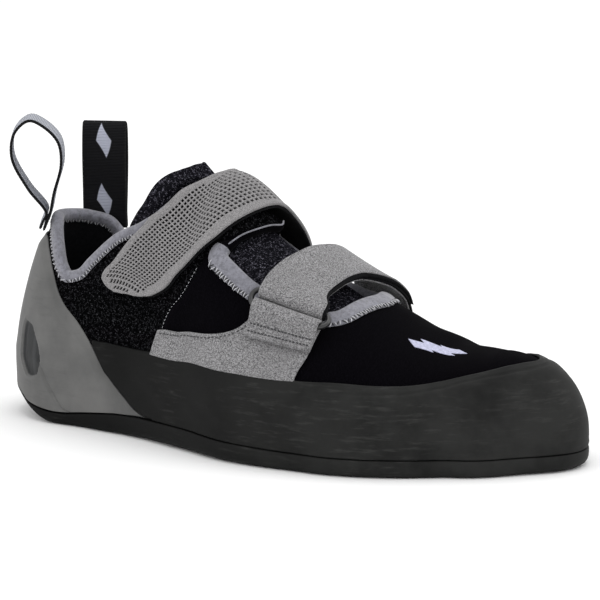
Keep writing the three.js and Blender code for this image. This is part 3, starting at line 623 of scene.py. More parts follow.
def threads(paths, ups, radius, sides=6):
    """Round threads along many short paths of equally many points. ups: the way off the surface."""
    count, steps = paths.shape[:2]
    along = unit(np.gradient(paths, axis=1))
    aside = unit(np.cross(along, ups))
    lifted = np.cross(aside, along)
    turn = np.linspace(0, 2 * pi, sides, endpoint=False)
    taper = np.ones(steps)
    taper[[0, -1]] = 0.35
    radius = (radius * taper)[None, :, None, None]
    ring = aside[:, :, None] * np.cos(turn)[:, None] + lifted[:, :, None] * np.sin(turn)[:, None]
    points = paths[:, :, None] + ring * radius
    index = np.arange(count * steps * sides).reshape(count, steps, sides)
    a, b = index[:, :-1], index[:, 1:]
    walls = np.stack([a, b, np.roll(b, -1, 2), np.roll(a, -1, 2)], -1).reshape(-1, 4)
    half = sides // 2
    caps = []
    for row, flip in ((index[:, 0], 1), (index[:, -1], -1)):
        for k in range(half - 1):
            corner = np.stack([row[:, k], row[:, k + 1], row[:, sides - 2 - k], row[:, sides - 1 - k]], -1)
            caps.append(corner[:, ::flip])
    return points.reshape(-1, 3), np.concatenate([walls, *caps])


# Materials.


class Shader:
    """A material's nodes, with one line for each step."""

    def __init__(self, name, roughness=0.8, **sockets):
        self.material = bpy.data.materials.new(name)
        self.material.use_nodes = True
        self.tree = self.material.node_tree
        self.surface = self.tree.nodes["Principled BSDF"]
        self.surface.inputs["Roughness"].default_value = roughness
        for socket, value in sockets.items():
            self.surface.inputs[socket.replace("_", " ")].default_value = value
        self.where = self.node("ShaderNodeTexCoord").outputs["Object"]

    def node(self, kind, inputs=None, **settings):
        node = self.tree.nodes.new(kind)
        for key, value in settings.items():
            setattr(node, key, value)
        for key, value in (inputs or {}).items():
            self.link(node.inputs[key], value)
        return node

    def link(self, socket, value):
        if isinstance(value, bpy.types.NodeSocket):
            self.tree.links.new(value, socket)
        elif isinstance(value, tuple) and len(value) == 3 and socket.type == "RGBA":
            socket.default_value = (*value, 1)
        else:
            socket.default_value = value

    def chart(self, scale=(1, 1, 1)):
        uv = self.node("ShaderNodeUVMap", uv_map="chart").outputs[0]
        return self.node("ShaderNodeMapping", {"Vector": uv, "Scale": scale}).outputs[0]

    def stretched(self, scale):
        return self.node("ShaderNodeMapping", {"Vector": self.where, "Scale": scale}).outputs[0]

    def noise(self, scale, detail=3, roughness=0.5, vector=None):
        settings = {"Vector": vector or self.where, "Scale": scale, "Detail": detail, "Roughness": roughness}
        return self.node("ShaderNodeTexNoise", settings).outputs["Fac"]

    def cells(self, scale, vector, randomness):
        settings = {"Vector": vector, "Scale": scale, "Randomness": randomness}
        return self.node("ShaderNodeTexVoronoi", settings).outputs["Distance"]

    def math(self, operation, a, b=0.0):
        node = self.node("ShaderNodeMath", operation=operation)
        for socket, value in zip(node.inputs, (a, b)):
            self.link(socket, value)
        return node.outputs[0]

    def spread(self, value, low, high, to_low=0.0, to_high=1.0):
        keys = {"Value": value, "From Min": low, "From Max": high, "To Min": to_low, "To Max": to_high}
        return self.node("ShaderNodeMapRange", keys, interpolation_type="SMOOTHSTEP").outputs[0]

    def own(self, name):
        return self.node("ShaderNodeAttribute", attribute_name=name).outputs["Fac"]

    def split(self, vector):
        return self.node("ShaderNodeSeparateXYZ", {"Vector": vector}).outputs

    def blend(self, share, a, b):
        node = self.node("ShaderNodeMix", data_type="RGBA")
        self.link(node.inputs[0], share)
        self.link(node.inputs[6], a)
        self.link(node.inputs[7], b)
        return node.outputs[2]

    def bump(self, height, distance, strength=1.0):
        """Adds a bump of some millimetres over those before it."""
        keys = {"Height": height, "Distance": distance / 1000, "Strength": strength}
        node = self.node("ShaderNodeBump", keys)
        before = self.surface.inputs["Normal"].links
        if before:
            self.tree.links.new(before[0].from_socket, node.inputs["Normal"])
        self.tree.links.new(node.outputs[0], self.surface.inputs["Normal"])

    def set(self, **sockets):
        for socket, value in sockets.items():
            self.link(self.surface.inputs[socket.replace("_", " ")], value)
        return self.material


def rubber(name, dark, light, shine, dust, window=None):
    """Climbing rubber: cloudy, finely sanded, with faint level scuffs and a little dust. Without a window, it
    also has painted shade that darkens it towards the heel.
    """
    s = Shader(name, Specular_IOR_Level=shine)
    clouds = s.spread(s.noise(28, 5, 0.6), 0.35, 0.68)
    scuffs = s.spread(s.noise(14, 6, 0.65, s.stretched((6, 6, 46))), 0.5, 0.72)
    marks = s.math("MULTIPLY", scuffs, s.spread(s.noise(22, 2), 0.45, 0.62))
    base = s.blend(clouds, dark, light)
    if not window:
        # Painted shade: the rubber darkens towards the heel, down to 0.4 of its dark tone, and keeps its own
        # colours towards the toe.
        painted_shade_fade = s.spread(s.split(s.where)[0], -0.09, 0.09)
        base = s.blend(painted_shade_fade, tuple(0.4 * c for c in dark), base)
    grain = s.noise(1900, 2, 0.6)
    s.bump(s.noise(260, 4, 0.6), 0.12, 0.5)
    s.bump(grain, 0.05, 0.5)
    colour = s.blend(s.math("MULTIPLY", marks, 0.42), base, dust)
    if window:
        streaks = s.spread(s.noise(30, 3, 0.6, s.stretched((9, 9, 1))), 0.4, 0.62)
        colour = s.blend(s.spread(s.own("window"), -0.6, 0.0), s.blend(streaks, *window), colour)
    return s.set(Base_Color=colour, Roughness=s.spread(clouds, 0, 1, 0.55, 0.68))


def suede(name, colour, contrast=0.95, grain=1900):
    """Split leather: a short nap with light and dark specks."""
    s = Shader(name, 0.92, Specular_IOR_Level=0.2, Sheen_Weight=0.2, Sheen_Roughness=0.5)
    specks = s.noise(grain, 3, 0.75)
    fine = s.noise(grain * 2.6, 2, 0.7)
    patches = s.noise(60, 3, 0.5)
    dark = tuple(c * (1 - contrast) for c in colour)
    light = tuple(c * (1 + contrast) for c in colour)
    nap = s.math("ADD", s.math("MULTIPLY", specks, 0.6), s.math("MULTIPLY", fine, 0.4))
    napped = s.blend(s.spread(nap, 0.36, 0.64), dark, light)
    worn = s.blend(s.spread(patches, 0.35, 0.7, 0, 0.22), napped, tuple(c * 0.7 for c in colour))
    s.bump(specks, 0.28, 0.8)
    s.bump(fine, 0.12, 0.7)
    return s.set(Base_Color=worn)


def knit(name, base, painted_glint, amount=0.5, pitch=0.85):
    """Open mesh: dark cells between short stitches, with painted glints, bright specks on the stitches that
    stand in for light caught by the mesh.
    """
    s = Shader(name, 0.75, Specular_IOR_Level=0.0)
    at = s.chart((1 / pitch, 1 / pitch, 1))
    warp = s.node("ShaderNodeTexNoise", {"Vector": at, "Scale": 1.1, "Detail": 2.0}).outputs["Color"]
    moved = s.node("ShaderNodeVectorMath", {0: at}, operation="ADD")
    scaled = s.node("ShaderNodeVectorMath", {0: warp, 1: (0.75, 0.75, 0)}, operation="MULTIPLY")
    s.link(moved.inputs[1], scaled.outputs[0])
    cell = s.cells(1.0, moved.outputs[0], 0.55)
    thread = s.spread(cell, 0.34, 0.56)
    # Painted glints: specks in the glint colour on the stitches, standing in for the mesh's sparkle of light.
    painted_glint_specks = s.spread(s.noise(2600, 2, 0.8), 0.5, 0.66)
    gate = s.spread(s.noise(2.0, 3, 0.6, s.chart((0.35, 0.35, 1))), 0.42, 0.6)
    painted_glint_share = s.math("MULTIPLY", s.math("MULTIPLY", thread, painted_glint_specks), s.math("MULTIPLY", gate, amount))
    s.bump(cell, 0.45, 0.9)
    s.bump(s.noise(1300, 2), 0.1, 0.6)
    return s.set(Base_Color=s.blend(painted_glint_share, base, painted_glint))


def fleece(name, colour, dark=0.55, scale=700, sheen=0.4):
    """Brushed elastic: soft fibres over a fine rib."""
    s = Shader(name, 0.95, Specular_IOR_Level=0.0, Sheen_Weight=sheen, Sheen_Roughness=0.6)
    fibres = s.noise(scale, 4, 0.8)
    clouds = s.noise(170, 3, 0.6)
    low = tuple(c * dark for c in colour)
    base = s.blend(s.spread(fibres, 0.32, 0.62), low, colour)
    shade = s.blend(s.spread(clouds, 0.35, 0.7, 0, 0.35), base, low)
    s.bump(fibres, 0.22, 0.7)
    return s.set(Base_Color=shade)


def microfibre(name, colour, rib=0.9):
    """The vamp's smooth stretch fabric: a very fine upright rib and a dull sheen."""
    s = Shader(name, 0.85, Specular_IOR_Level=0.0, Sheen_Weight=0.02, Sheen_Roughness=0.45)
    along = s.split(s.chart())[0]
    lines = s.math("SINE", s.math("MULTIPLY", along, 2 * pi / rib))
    fine = s.noise(2200, 2, 0.7)
    light = tuple(c * 2.4 for c in colour)
    base = s.blend(s.spread(fine, 0.4, 0.75), colour, light)
    s.bump(lines, 0.05, 0.4)
    s.bump(fine, 0.06, 0.5)
    return s.set(Base_Color=base)


def webbing(name, ground, motif=None, rib=0.62):
    """Woven tape: fine ribs across it. motif: where a pale mark is woven in, from the chart."""
    s = Shader(name, 0.7, Specular_IOR_Level=0.1, Sheen_Weight=0.02)
    x, y, _ = s.split(s.chart())
    ribs = s.math("SINE", s.math("MULTIPLY", x, 2 * pi / rib))
    weft = s.math("SINE", s.math("MULTIPLY", y, 2 * pi / 0.45))
    shade = s.spread(ribs, -1, 1)
    colour = s.blend(shade, tuple(c * 0.45 for c in ground), ground)
    if motif:
        colour = motif(s, x, y, colour)
    s.bump(ribs, 0.16, 0.8)
    s.bump(weft, 0.05, 0.5)
    return s.set(Base_Color=colour)


def plain(name, colour, roughness=0.6, grain=1200, depth=0.06, **sockets):
    """A small thing's own colour with a fine grain."""
    s = Shader(name, roughness, **sockets)
    fine = s.noise(grain, 2, 0.6)
    dark = tuple(c * 0.7 for c in colour)
    s.bump(fine, depth, 0.6)
    return s.set(Base_Color=s.blend(s.spread(fine, 0.3, 0.7), dark, colour))


BLACKS = (0.0045, 0.0047, 0.0045), (0.021, 0.0213, 0.0206)
GREYS = (0.086, 0.086, 0.085), (0.136, 0.135, 0.132)
WINDOW = (0.016, 0.017, 0.018), (0.032, 0.033, 0.035)
# The black rubber carries painted shade towards the heel. The grey rubber, with its window, has none.
BLACK_RUBBER = rubber("black_rubber", *BLACKS, 0.12, (0.055, 0.055, 0.053))
GREY_RUBBER = rubber("grey_rubber", *GREYS, 0.32, (0.07, 0.07, 0.069), WINDOW)
SUEDE = suede("grey_suede", (0.205, 0.202, 0.207))
STRAP_FABRIC = suede("strap_fabric", (0.240, 0.233, 0.236), 0.6, 2600)
VAMP = microfibre("vamp_fabric", (0.0016, 0.0014, 0.0020))
# The third colour of each knit is its painted glint.
QUARTER = knit("quarter_mesh", (0.0014, 0.0014, 0.0016), (0.14, 0.14, 0.155), 0.5)
TONGUE_MESH = knit("tongue_mesh", (0.006, 0.006, 0.008), (0.26, 0.25, 0.31), 0.9, 0.95)
LINING = fleece("lining", (0.010, 0.010, 0.012), sheen=0.03)
PILE = fleece("loop_pile", (0.008, 0.008, 0.009), 0.4, 900, 0.03)
BINDING = fleece("binding_elastic", (0.225, 0.225, 0.26))
THREAD_PALE = plain("thread_pale", (0.58, 0.58, 0.61))
THREAD_DARK = plain("thread_dark", (0.03, 0.03, 0.033))
RING_COAT = plain("ring_coat", (0.012, 0.012, 0.013), 0.32, 700, 0.02, Coat_Weight=0.3)
PRINT = plain("pale_print", (0.52, 0.53, 0.70), 0.6)
BOARD = fleece("insole_cover", (0.03, 0.03, 0.034), sheen=0.1)


# The upper: one wall with a mesh quarter, a smooth vamp and a fleece lining.


def throat_outline(count=420):
    """Places round the throat's edge, as stations and distances aside, evenly spaced with soft corners."""
    asides = np.linspace(-THROAT.aside[-1], THROAT.aside[-1], 80)
    front = np.stack([curve(THROAT.aside, THROAT.front, np.abs(asides)), asides], -1)
    back = np.stack([curve(THROAT.aside, THROAT.back, np.abs(asides)), asides], -1)[::-1]
    places = np.concatenate([front, back])
    places = np.concatenate([places, places[:1]])
    length = run(over(*places.T, 0 * places[:, 0]), 0)
    places = resample(places, length, np.linspace(0, length[-1], count, endpoint=False))
    for _ in range(30):
        places = (np.roll(places, 1, 0) + 2 * places + np.roll(places, -1, 0)) / 4
    return places


THROAT_EDGE = throat_outline()
ASIDE_SPAN = 95


def inside(outline, points):
    """Which points lie inside a closed outline, in two coordinates."""
    within = np.zeros(len(points), bool)
    x, y = points.T
    for (x1, y1), (x2, y2) in zip(outline, np.roll(outline, -1, 0)):
        crosses = (y1 > y) != (y2 > y)
        within ^= crosses & (x < x1 + (y - y1) * (x2 - x1) / (y2 - y1 + 1e-12))
    return within


def nearest(outline, points):
    """Each point's nearest place on a closed outline, and how far off it is."""
    start, step = outline, np.roll(outline, -1, 0) - outline
    share = np.einsum("pok,ok->po", points[:, None] - start, step) / (step**2).sum(1)
    places = start + np.clip(share, 0, 1)[..., None] * step
    away = np.linalg.norm(points[:, None] - places, axis=-1)
    best = away.argmin(1)
    rows = np.arange(len(points))
    return places[rows, best], away[rows, best]


def creases(ring, rib):
    """Soft troughs and swells of the soft upper, in millimetres."""
    at = station_of(ring)
    flex = smooth(0.64, 0.72, at) * smooth(0.9, 0.78, at) * smooth(0.4, 0.7, rib)
    waves = 0.22 * np.sin(2 * pi * (at * 15 + 1.3 * rib)) * flex
    quarter = smooth(0.2, 0.26, at) * smooth(0.44, 0.36, at) * smooth(0.3, 0.4, rib) * smooth(0.62, 0.5, rib)
    puff = 0.5 * np.sin(2 * pi * (at * 9 - rib * 2.2)) * quarter
    return waves + puff


def build_upper():
    count = 560
    rings = np.linspace(0, 2, count, endpoint=False)[:, None]
    rib = np.linspace(0, 1, 84)[None] ** 0.93 * collar_rib(rings)
    ring = rings + 0 * rib
    metric = np.array([SPINE_RATE, ASIDE_SPAN])
    edge = THROAT_EDGE * metric
    middle_ring = (ring + 1 / count)[:, 1:]
    both = rib + np.roll(rib, -1, 0)
    middle_rib = (both[:, 1:] + both[:, :-1]) / 4

    def flat(ring, rib):
        aside = np.where(np.mod(ring, 2) <= 1, rib - 1, 1 - rib)
        return np.stack([station_of(ring), aside], -1) * metric

    hole = inside(edge, flat(middle_ring, middle_rib).reshape(-1, 2)).reshape(middle_rib.shape)
    around = np.zeros((2, *rib.shape))
    for roll in (0, 1):
        for part in (slice(0, -1), slice(1, None)):
            around[0][:, part] += np.roll(hole, roll, 0)
            around[1][:, part] += np.roll(~hole, roll, 0)
    border = (around[0] > 0) & (around[1] > 0)
    places, _ = nearest(edge, flat(ring, rib)[border])
    at, aside = (places / metric).T
    ring[border] = np.where(aside < 0, at, 2 - at)
    rib[border] = 1 - np.abs(aside)
    seam = curve(VAMP_SEAM.rib, VAMP_SEAM.at, rib)
    from_seam = (station_of(ring) - seam) * SPINE_RATE
    groove = -0.45 * np.exp(-((from_seam / 0.9) ** 2)) + 0.25 * smooth(0.5, -1.2, from_seam)
    lift = creases(ring, rib) * smooth(0, 0.1, rib) + groove
    outer = skin(ring, rib, lift)
    inner = skin(ring, rib, -UPPER_WALL + 0 * rib)
    sealed = station_of(middle_ring[:, 0]) > COLLAR_OUTER.at[-1]
    points, quads, tags = slab(outer, inner, ~hole, loop=True, sealed=sealed)
    first = quads[:, 0] % ring.size
    tags = np.where(tags == OUTSIDE, np.where(from_seam.reshape(-1)[first] < 0, 0, 1), 2)
    mesh_piece("upper_shell", "upper", points, quads, [QUARTER, VAMP, LINING], tags, chart_of(outer))
    rib = np.linspace(0.36, 0.62, 300)
    seam = np.stack([curve(VAMP_SEAM.rib, VAMP_SEAM.at, rib), rib], -1)
    for side in (0, 1):
        line = np.abs(seam - np.array([2 * side, 0]))
        stitch_row(f"seam_thread_{side}", "upper", line, 0.1, 1.5, 0.9, 0.1, THREAD_PALE)


def floor_of(f, reach):
    """The feather line's height carried in from the edge to the spine."""
    spine = size_of("low", np.clip(f.at, HEEL_FAN, TOE_FAN)) * SOLE_HEIGHT
    return mix(spine, f.low, (reach / f.reach) ** 2)


def lathe(loops):
    """A closed skin from profiles that start and end on the spine, all the way round."""
    rows, columns = loops.shape[:2]
    index = np.arange(rows * columns).reshape(rows, columns)
    after = np.roll(index, -1, 0)
    quads = np.stack([index[:, :-1], after[:, :-1], after[:, 1:], index[:, 1:]], -1).reshape(-1, 4)
    return loops.reshape(-1, 3), quads


def build_insole():
    f = rib_facts(ALL_ROUND[:, None])
    edge = f.reach - f.tuck - UPPER_WALL - GAP
    share = np.linspace(0, 1, 18)[None]
    top = out(f, share * (edge - INSOLE_BEVEL), floor_of(f, share * edge) + INSOLE_HEIGHT)
    side = out(f, edge, floor_of(f, edge) + INSOLE_HEIGHT * np.array([[0.75, 0.25]]))
    low = share[:, ::-1]
    bottom = out(f, low * (edge - INSOLE_UNDERCUT), floor_of(f, low * edge))
    mesh_piece("insole_board", "insole", *lathe(np.concatenate([top, side, bottom], 1)), [BOARD])


# The sole's side: inset from the rim, less where the side is under FULL_EDGE, and share of the height.
SOLE_EDGE = table("""
    inset  height
    3.00   1.00
    0.50   1.00
    0.12   0.97
    0.00   0.90
    0.00   0.62
    0.10   0.46
    0.40   0.30
    1.00   0.15
    1.90   0.05
    3.20   0.00
""")


FULL_EDGE = 5
SOLE_SEAT = 0.1


def sole_top(f):
    return f.low - curve(HEEL_DROP.at, HEEL_DROP.drop, f.at)


def build_outsole():
    f = rib_facts(ALL_ROUND[:, None])
    rim = f.reach + RAND_LIFT
    top = sole_top(f) - SOLE_SEAT
    edge = out(f, rim, 0)
    side = top - tread(edge[..., 0], edge[..., 1])
    reach = rim - SOLE_EDGE.inset[None] * np.minimum(side / FULL_EDGE, 1)
    flat = out(f, reach, 0)
    wall = out(f, reach, tread(flat[..., 0], flat[..., 1]) + SOLE_EDGE.height * side)
    share = np.linspace(1, 0, 16)[None, 1:]
    low = out(f, share * reach[:, -1:], 0)
    low = out(f, share * reach[:, -1:], tread(low[..., 0], low[..., 1]))
    high_reach = share[:, ::-1] * reach[:, :1]
    high = out(f, high_reach, floor_of(f, high_reach) - SOLE_SEAT)
    mesh_piece("outsole_rubber", "outsole", *lathe(np.concatenate([high, wall, low], 1)), [BLACK_RUBBER])


# The rands: rubber walls that hug the upper and run straight down into the sole's rim. Each is thin at its
# top edge and full some millimetres below it.
TOE_RAND_TOP_LIFT, TOE_RAND_TAPER = 1.5, 7
HEEL_RAND_TOP_LIFT, HEEL_RAND_TAPER = 1.1, 6
GROOVE_BELOW_TOP = 4.2
WINDOW_DEPTH = 1.25


def rand_skin(ring, rib, lift):
    """Like skin, but below the widest place the wall goes straight down to the sole's rim."""
    f = rib_facts(ring)
    share = np.clip(rib / GIRTH, 0, 1)
    height = mix(sole_top(f), f.wide, share)
    straight = out(f, f.reach + lift - 0.25 * (1 - share) ** 2, height)
    return np.where((rib < GIRTH)[..., None], straight, skin(ring, rib, lift))


def rand_grid(rings, foot, top, count):
    low = foot(rings)
    high = np.maximum(top(rings), low + 0.004)
    rib = mix(low, high, spread(0, 1, count, 0.75)[None])
    length = run(skin(rings, rib, 0 * rib), 1)
    return rings + 0 * rib, rib, length[:, -1:] - length


def build_toe_rand():
    def foot(ring):
        front = line_rib(HEEL_RAND_TOP, ring) + 0.008
        return np.where(station_of(ring) < HEEL_RAND_END, np.maximum(front, 0), 0.0)

    rings = np.linspace(TOE_RAND_START, 2 - TOE_RAND_START, 560)[:, None]
    ring, rib, from_top = rand_grid(rings, foot, lambda r: line_rib(RAND_TOP, r), 56)
    lift = mix(TOE_RAND_TOP_LIFT, RAND_LIFT, smooth(0, TOE_RAND_TAPER, from_top))
    lift += 0.1 * np.sin(ring * 97) * np.sin(rib * 31)
    lift -= 0.35 * np.exp(-(((from_top - GROOVE_BELOW_TOP) / 0.5) ** 2)) * smooth(0.55, 0.7, station_of(ring))
    outer, inner = rand_skin(ring, rib, lift), skin(ring, rib, RAND_SEAT + 0 * rib)
    wall_piece("toe_rand_rubber", "toe_rand", outer, inner, RAND_ROUND, [BLACK_RUBBER], charted=False)


def build_heel_rand():
    rings = np.linspace(-HEEL_RAND_END, HEEL_RAND_END, 380)[:, None]
    ring, rib, from_top = rand_grid(rings, lambda r: 0 * r, lambda r: line_rib(HEEL_RAND_TOP, r), 104)
    lift = mix(HEEL_RAND_TOP_LIFT, RAND_LIFT, smooth(0, HEEL_RAND_TAPER, from_top))
    lift += 0.08 * np.sin(ring * 83) * np.sin(rib * 27)
    from_ledge = (station_of(ring) - curve(HEEL_LEDGE.rib, HEEL_LEDGE.at, rib)) * SPINE_RATE
    ledge = 0.35 * smooth(0.9, -0.9, from_ledge) - 0.6 * np.exp(-((from_ledge / 0.7) ** 2))
    lift += ledge * smooth(0.32, 0.24, rib)
    points = skin(ring, rib, lift).reshape(-1, 3)
    from_edge = np.full(len(points), 99.0)
    for side in (1, -1):
        turns = np.linspace(0, len(HEEL_WINDOW.at), 120, endpoint=False)
        corners = np.arange(len(HEEL_WINDOW.at) + 1)
        wrapped = [np.append(line, line[0]) for line in (HEEL_WINDOW.at, HEEL_WINDOW.rib)]
        at, height = (np.interp(turns, corners, line) for line in wrapped)
        for _ in range(12):
            at, height = ((np.roll(v, 1) + 2 * v + np.roll(v, -1)) / 4 for v in (at, height))
        edge = skin(side * at, height, RAND_LIFT + 0 * at)
        _, away = nearest(edge, points)
        chart = np.stack([side * ring.ravel(), rib.ravel()], -1)
        within = inside(np.stack([at, height], -1), chart)
        from_edge = np.minimum(from_edge, np.where(within, -away, away))
    from_edge = from_edge.reshape(ring.shape)
    recess = smooth(0.35, -0.9, from_edge)
    lift -= WINDOW_DEPTH * recess - 0.18 * np.exp(-(((from_edge - 0.9) / 0.7) ** 2))
    outer, inner = rand_skin(ring, rib, lift), skin(ring, rib, RAND_SEAT + 0 * rib)
    window = ("window", np.tile(from_edge.ravel(), 2))
    wall_piece("heel_rand_rubber", "heel_rand", outer, inner, RAND_ROUND, [GREY_RUBBER], None, False, window)


# Edgings.


def inward_steps(chart, places, closed):
    """One millimetre into the wall at each place along an edge, as a step on the chart."""
    before, after = np.roll(places, 1, 0), np.roll(places, -1, 0)
    if not closed:
        before[0], after[-1] = places[0], places[-1]
    u, v = places.T
    flat = 0 * u
    along_u = (chart(u + NUDGE, v, flat) - chart(u - NUDGE, v, flat)) / (2 * NUDGE)
    along_v = (chart(u, v + NUDGE, flat) - chart(u, v - NUDGE, flat)) / (2 * NUDGE)
    edge = chart(*after.T, flat) - chart(*before.T, flat)
    lifted = chart(u, v, flat + 1) - chart(u, v, flat)
    square = -unit(np.cross(lifted, edge))

    def dot(a, b):
        return (a * b).sum(-1)

    uu, uv, vv = dot(along_u, along_u), dot(along_u, along_v), dot(along_v, along_v)
    su, sv = dot(square, along_u), dot(square, along_v)
    return np.stack([su * vv - sv * uv, sv * uu - su * uv], -1) / (uu * vv - uv * uv)[:, None]


def edging(name, slot, chart, places, inward, width, closed, dark):
    """A rolled strip of elastic over a wall's edge, pulled in along its stitches. dark: where it is black."""
    length = run(chart(*places.T, 0 * places[:, 0]), 0)[:, None]
    wide = width[:, None]
    wave = np.sin(length * 2 * pi / 7.3) + 0.6 * np.sin(length * 2 * pi / 4.1 + 1)
    face = np.array([[1.0, 0.96, 0.86, 0.72, 0.5, 0.25, 0.0]])
    slim = smooth(1.0, 4.5, wide[:, :1])
    rise = np.array([[0.35, 0.75, 0.7, 1.15, 1.45, 1.5, 1.35]]) + 0.1 * wave * smooth(0.9, 0.4, face)
    rise = rise * mix(0.3, 1, slim)
    turn = np.linspace(0, pi, 9)[None, 1:-1]
    half = UPPER_WALL / 2 + 1.35 * mix(0.3, 1, slim)
    tip = -0.5 * half * np.sin(turn) + 0 * length
    arc = -UPPER_WALL / 2 + half * np.cos(turn) + 0 * length
    away = np.concatenate([face * wide, tip, face[:, ::-1] * wide * 0.94], 1)
    lift = np.concatenate([rise, arc, -UPPER_WALL - rise[:, ::-1]], 1)
    back_away = np.concatenate([face * wide, 0 * tip, face[:, ::-1] * wide * 0.94], 1)
    back_lift = np.concatenate([0.2 + 0 * rise, -UPPER_WALL / 2 + 0 * tip, -UPPER_WALL - 0.2 + 0 * rise], 1)

    def at(away, lift):
        place = places[:, None] + inward[:, None] * away[..., None]
        return chart(place[..., 0], place[..., 1], lift)

    outer, inner = at(away, lift), at(back_away, back_lift)
    points, quads, _ = slab(outer, inner, loop=closed)
    tags = dark[quads[:, 0] % outer[..., 0].size // outer.shape[1]]
    mesh_piece(name, slot, points, quads, [BINDING, VAMP], tags, chart_of(outer))


def zigzag(name, slot, chart, places, inward, away, half, lift, pitch, radius=0.2):
    """Overlocked stitches along an edging: slanted threads, light and dark by turns, with loose ends."""
    length = run(chart(*places.T, 0 * places[:, 0]), 0)
    spots = np.arange(0, length[-1], pitch / 2)
    count = len(spots) - 1
    share = np.linspace(0, 1, 5)
    away = np.interp(spots, length, np.broadcast_to(away, length.shape))
    for colour, material in ((0, THREAD_PALE), (1, THREAD_DARK)):
        starts = np.arange(colour, count, 2)
        jitter = draws.uniform(-0.25, 0.25, (2, len(starts)))
        along = mix(spots[starts][:, None], spots[starts + 1][:, None] + jitter[0][:, None], share)
        way = np.where((starts + colour) % 4 < 2, 1, -1)[:, None]
        across = away[starts][:, None] + way * half * (2 * share - 1 + jitter[1][:, None])
        place = resample(places, length, along) + resample(inward, length, along) * across[..., None]
        heights = lift + 0.32 * np.sin(pi * share) + 0 * along
        paths = chart(place[..., 0], place[..., 1], heights)
        ups = chart(place[..., 0], place[..., 1], heights + 1) - paths
        points, quads = threads(paths, ups, radius)
        mesh_piece(f"{name}_{('pale', 'dark')[colour]}", slot, points, quads, [material], covers=False)


def build_collar_binding():
    rings = np.linspace(-COLLAR_BOUND, COLLAR_BOUND, 420)
    places = np.stack([rings, collar_rib(rings)], -1)
    inward = inward_steps(skin, places, False)
    width = COLLAR_WIDTH + 0 * rings
    edging("collar_elastic", "collar_binding", skin, places, inward, width, False, 0 * rings)
    zigzag("collar_stitch", "collar_binding", skin, places, inward, 3.1, 0.8, 0.75, 1.5)
    zigzag("collar_stitch_in", "collar_binding", skin, places, inward, 2.9, 0.8, -UPPER_WALL - 1.1, 1.5)


def build_throat_binding():
    places = THROAT_EDGE
    inward = inward_steps(over, places, True)
    aside = np.abs(places[:, 1])
    front, back = (curve(THROAT.aside, line, aside) for line in (THROAT.front, THROAT.back))
    ankle = smooth(0.5, 0.25, (places[:, 0] - back) / (front - back)) * smooth(THROAT.aside[-1], 0.25, aside)
    width = mix(BINDING_WIDTH, PIPING_WIDTH, ankle)
    edging("throat_elastic", "throat_binding", over, places, inward, width, True, ankle > 0.35)
    cord = np.flatnonzero(ankle > 0.3)
    cord = cord[np.argsort((cord - cord[np.argmax(np.diff(cord, prepend=cord[-1]))]) % len(places))]
    at, aside = (places[cord] + 0.5 * inward[cord]).T
    path = over(at, aside, 1.0 + 0 * at)[None]
    points, quads = threads(path, over(at, aside, 2.0 + 0 * at)[None] - path, 0.32, 10)
    mesh_piece("throat_cord", "throat_binding", points, quads, [BINDING], covers=False)
    stitched = ankle < 0.02
    start = int(np.argmax(stitched & ~np.roll(stitched, 1)))
    order = np.roll(np.arange(len(places)), -start)
    order = order[stitched[order]]
    along, inward = places[order], inward[order]
    zigzag("throat_stitch", "throat_binding", over, along, inward, BINDING_WIDTH - 0.8, 1.1, 0.7, 1.3, 0.24)


# The overlay, the tongue and the straps.


def build_overlay():
    share = spread(0, 1, 200, 0.5)[:, None]
    height = spread(0, 1, 60, 0.6)[None]
    ring = mix(0.353, 0.614, share) + 0 * height
    foot = line_rib(RAND_TOP, ring) - 0.012
    rib = mix(foot, line_rib(OVERLAY_TOP, ring), height)
    slant = np.clip((0.415 - rib) / 0.07, 0, 1.1)
    ring = ring - 0.009 * share**3 * smooth(0.56, 0.44, rib) - 0.013 * slant * (1 - share) ** 8
    wave = 0.12 * np.sin(ring * 61 + rib * 13)
    outer = skin(ring, rib, 1.75 + wave)
    inner = skin(ring, rib, 0.45 + 0 * rib)
    wall_piece("overlay_suede", "side_overlay", outer, inner, 0.45, [SUEDE])
    at = np.linspace(0.357, 0.522, 400)
    edge = np.stack([at, curve(OVERLAY_TOP.at, OVERLAY_TOP.rib, at)], -1)
    step = inward_steps(skin, edge, False)
    edge = edge - step * np.sign(step[:, 1].mean()) * 1.6
    stitch_row("overlay_stitch", "side_overlay", edge, 1.95, 1.9, 1.25, 0.2, THREAD_DARK)


def stitch_row(name, slot, line, lift, pitch, long, radius, material):
    """Single stitches along a line of rings and ribs."""
    length = run(skin(*line.T, lift + 0 * line[:, 0]), 0)
    starts = np.arange(0.5, length[-1] - pitch, pitch)
    share = np.linspace(0, 1, 5)
    along = starts[:, None] + long * share
    u, v = (np.interp(along, length, column) for column in line.T)
    heights = lift + 0.3 * np.sin(pi * share) - 0.1 + 0 * along
    paths = skin(u, v, heights)
    points, quads = threads(paths, skin(u, v, heights + 1) - paths, radius)
    mesh_piece(name, slot, points, quads, [material], covers=False)


TONGUE_ASIDE = 0.42
TONGUE_RISE = 4.2


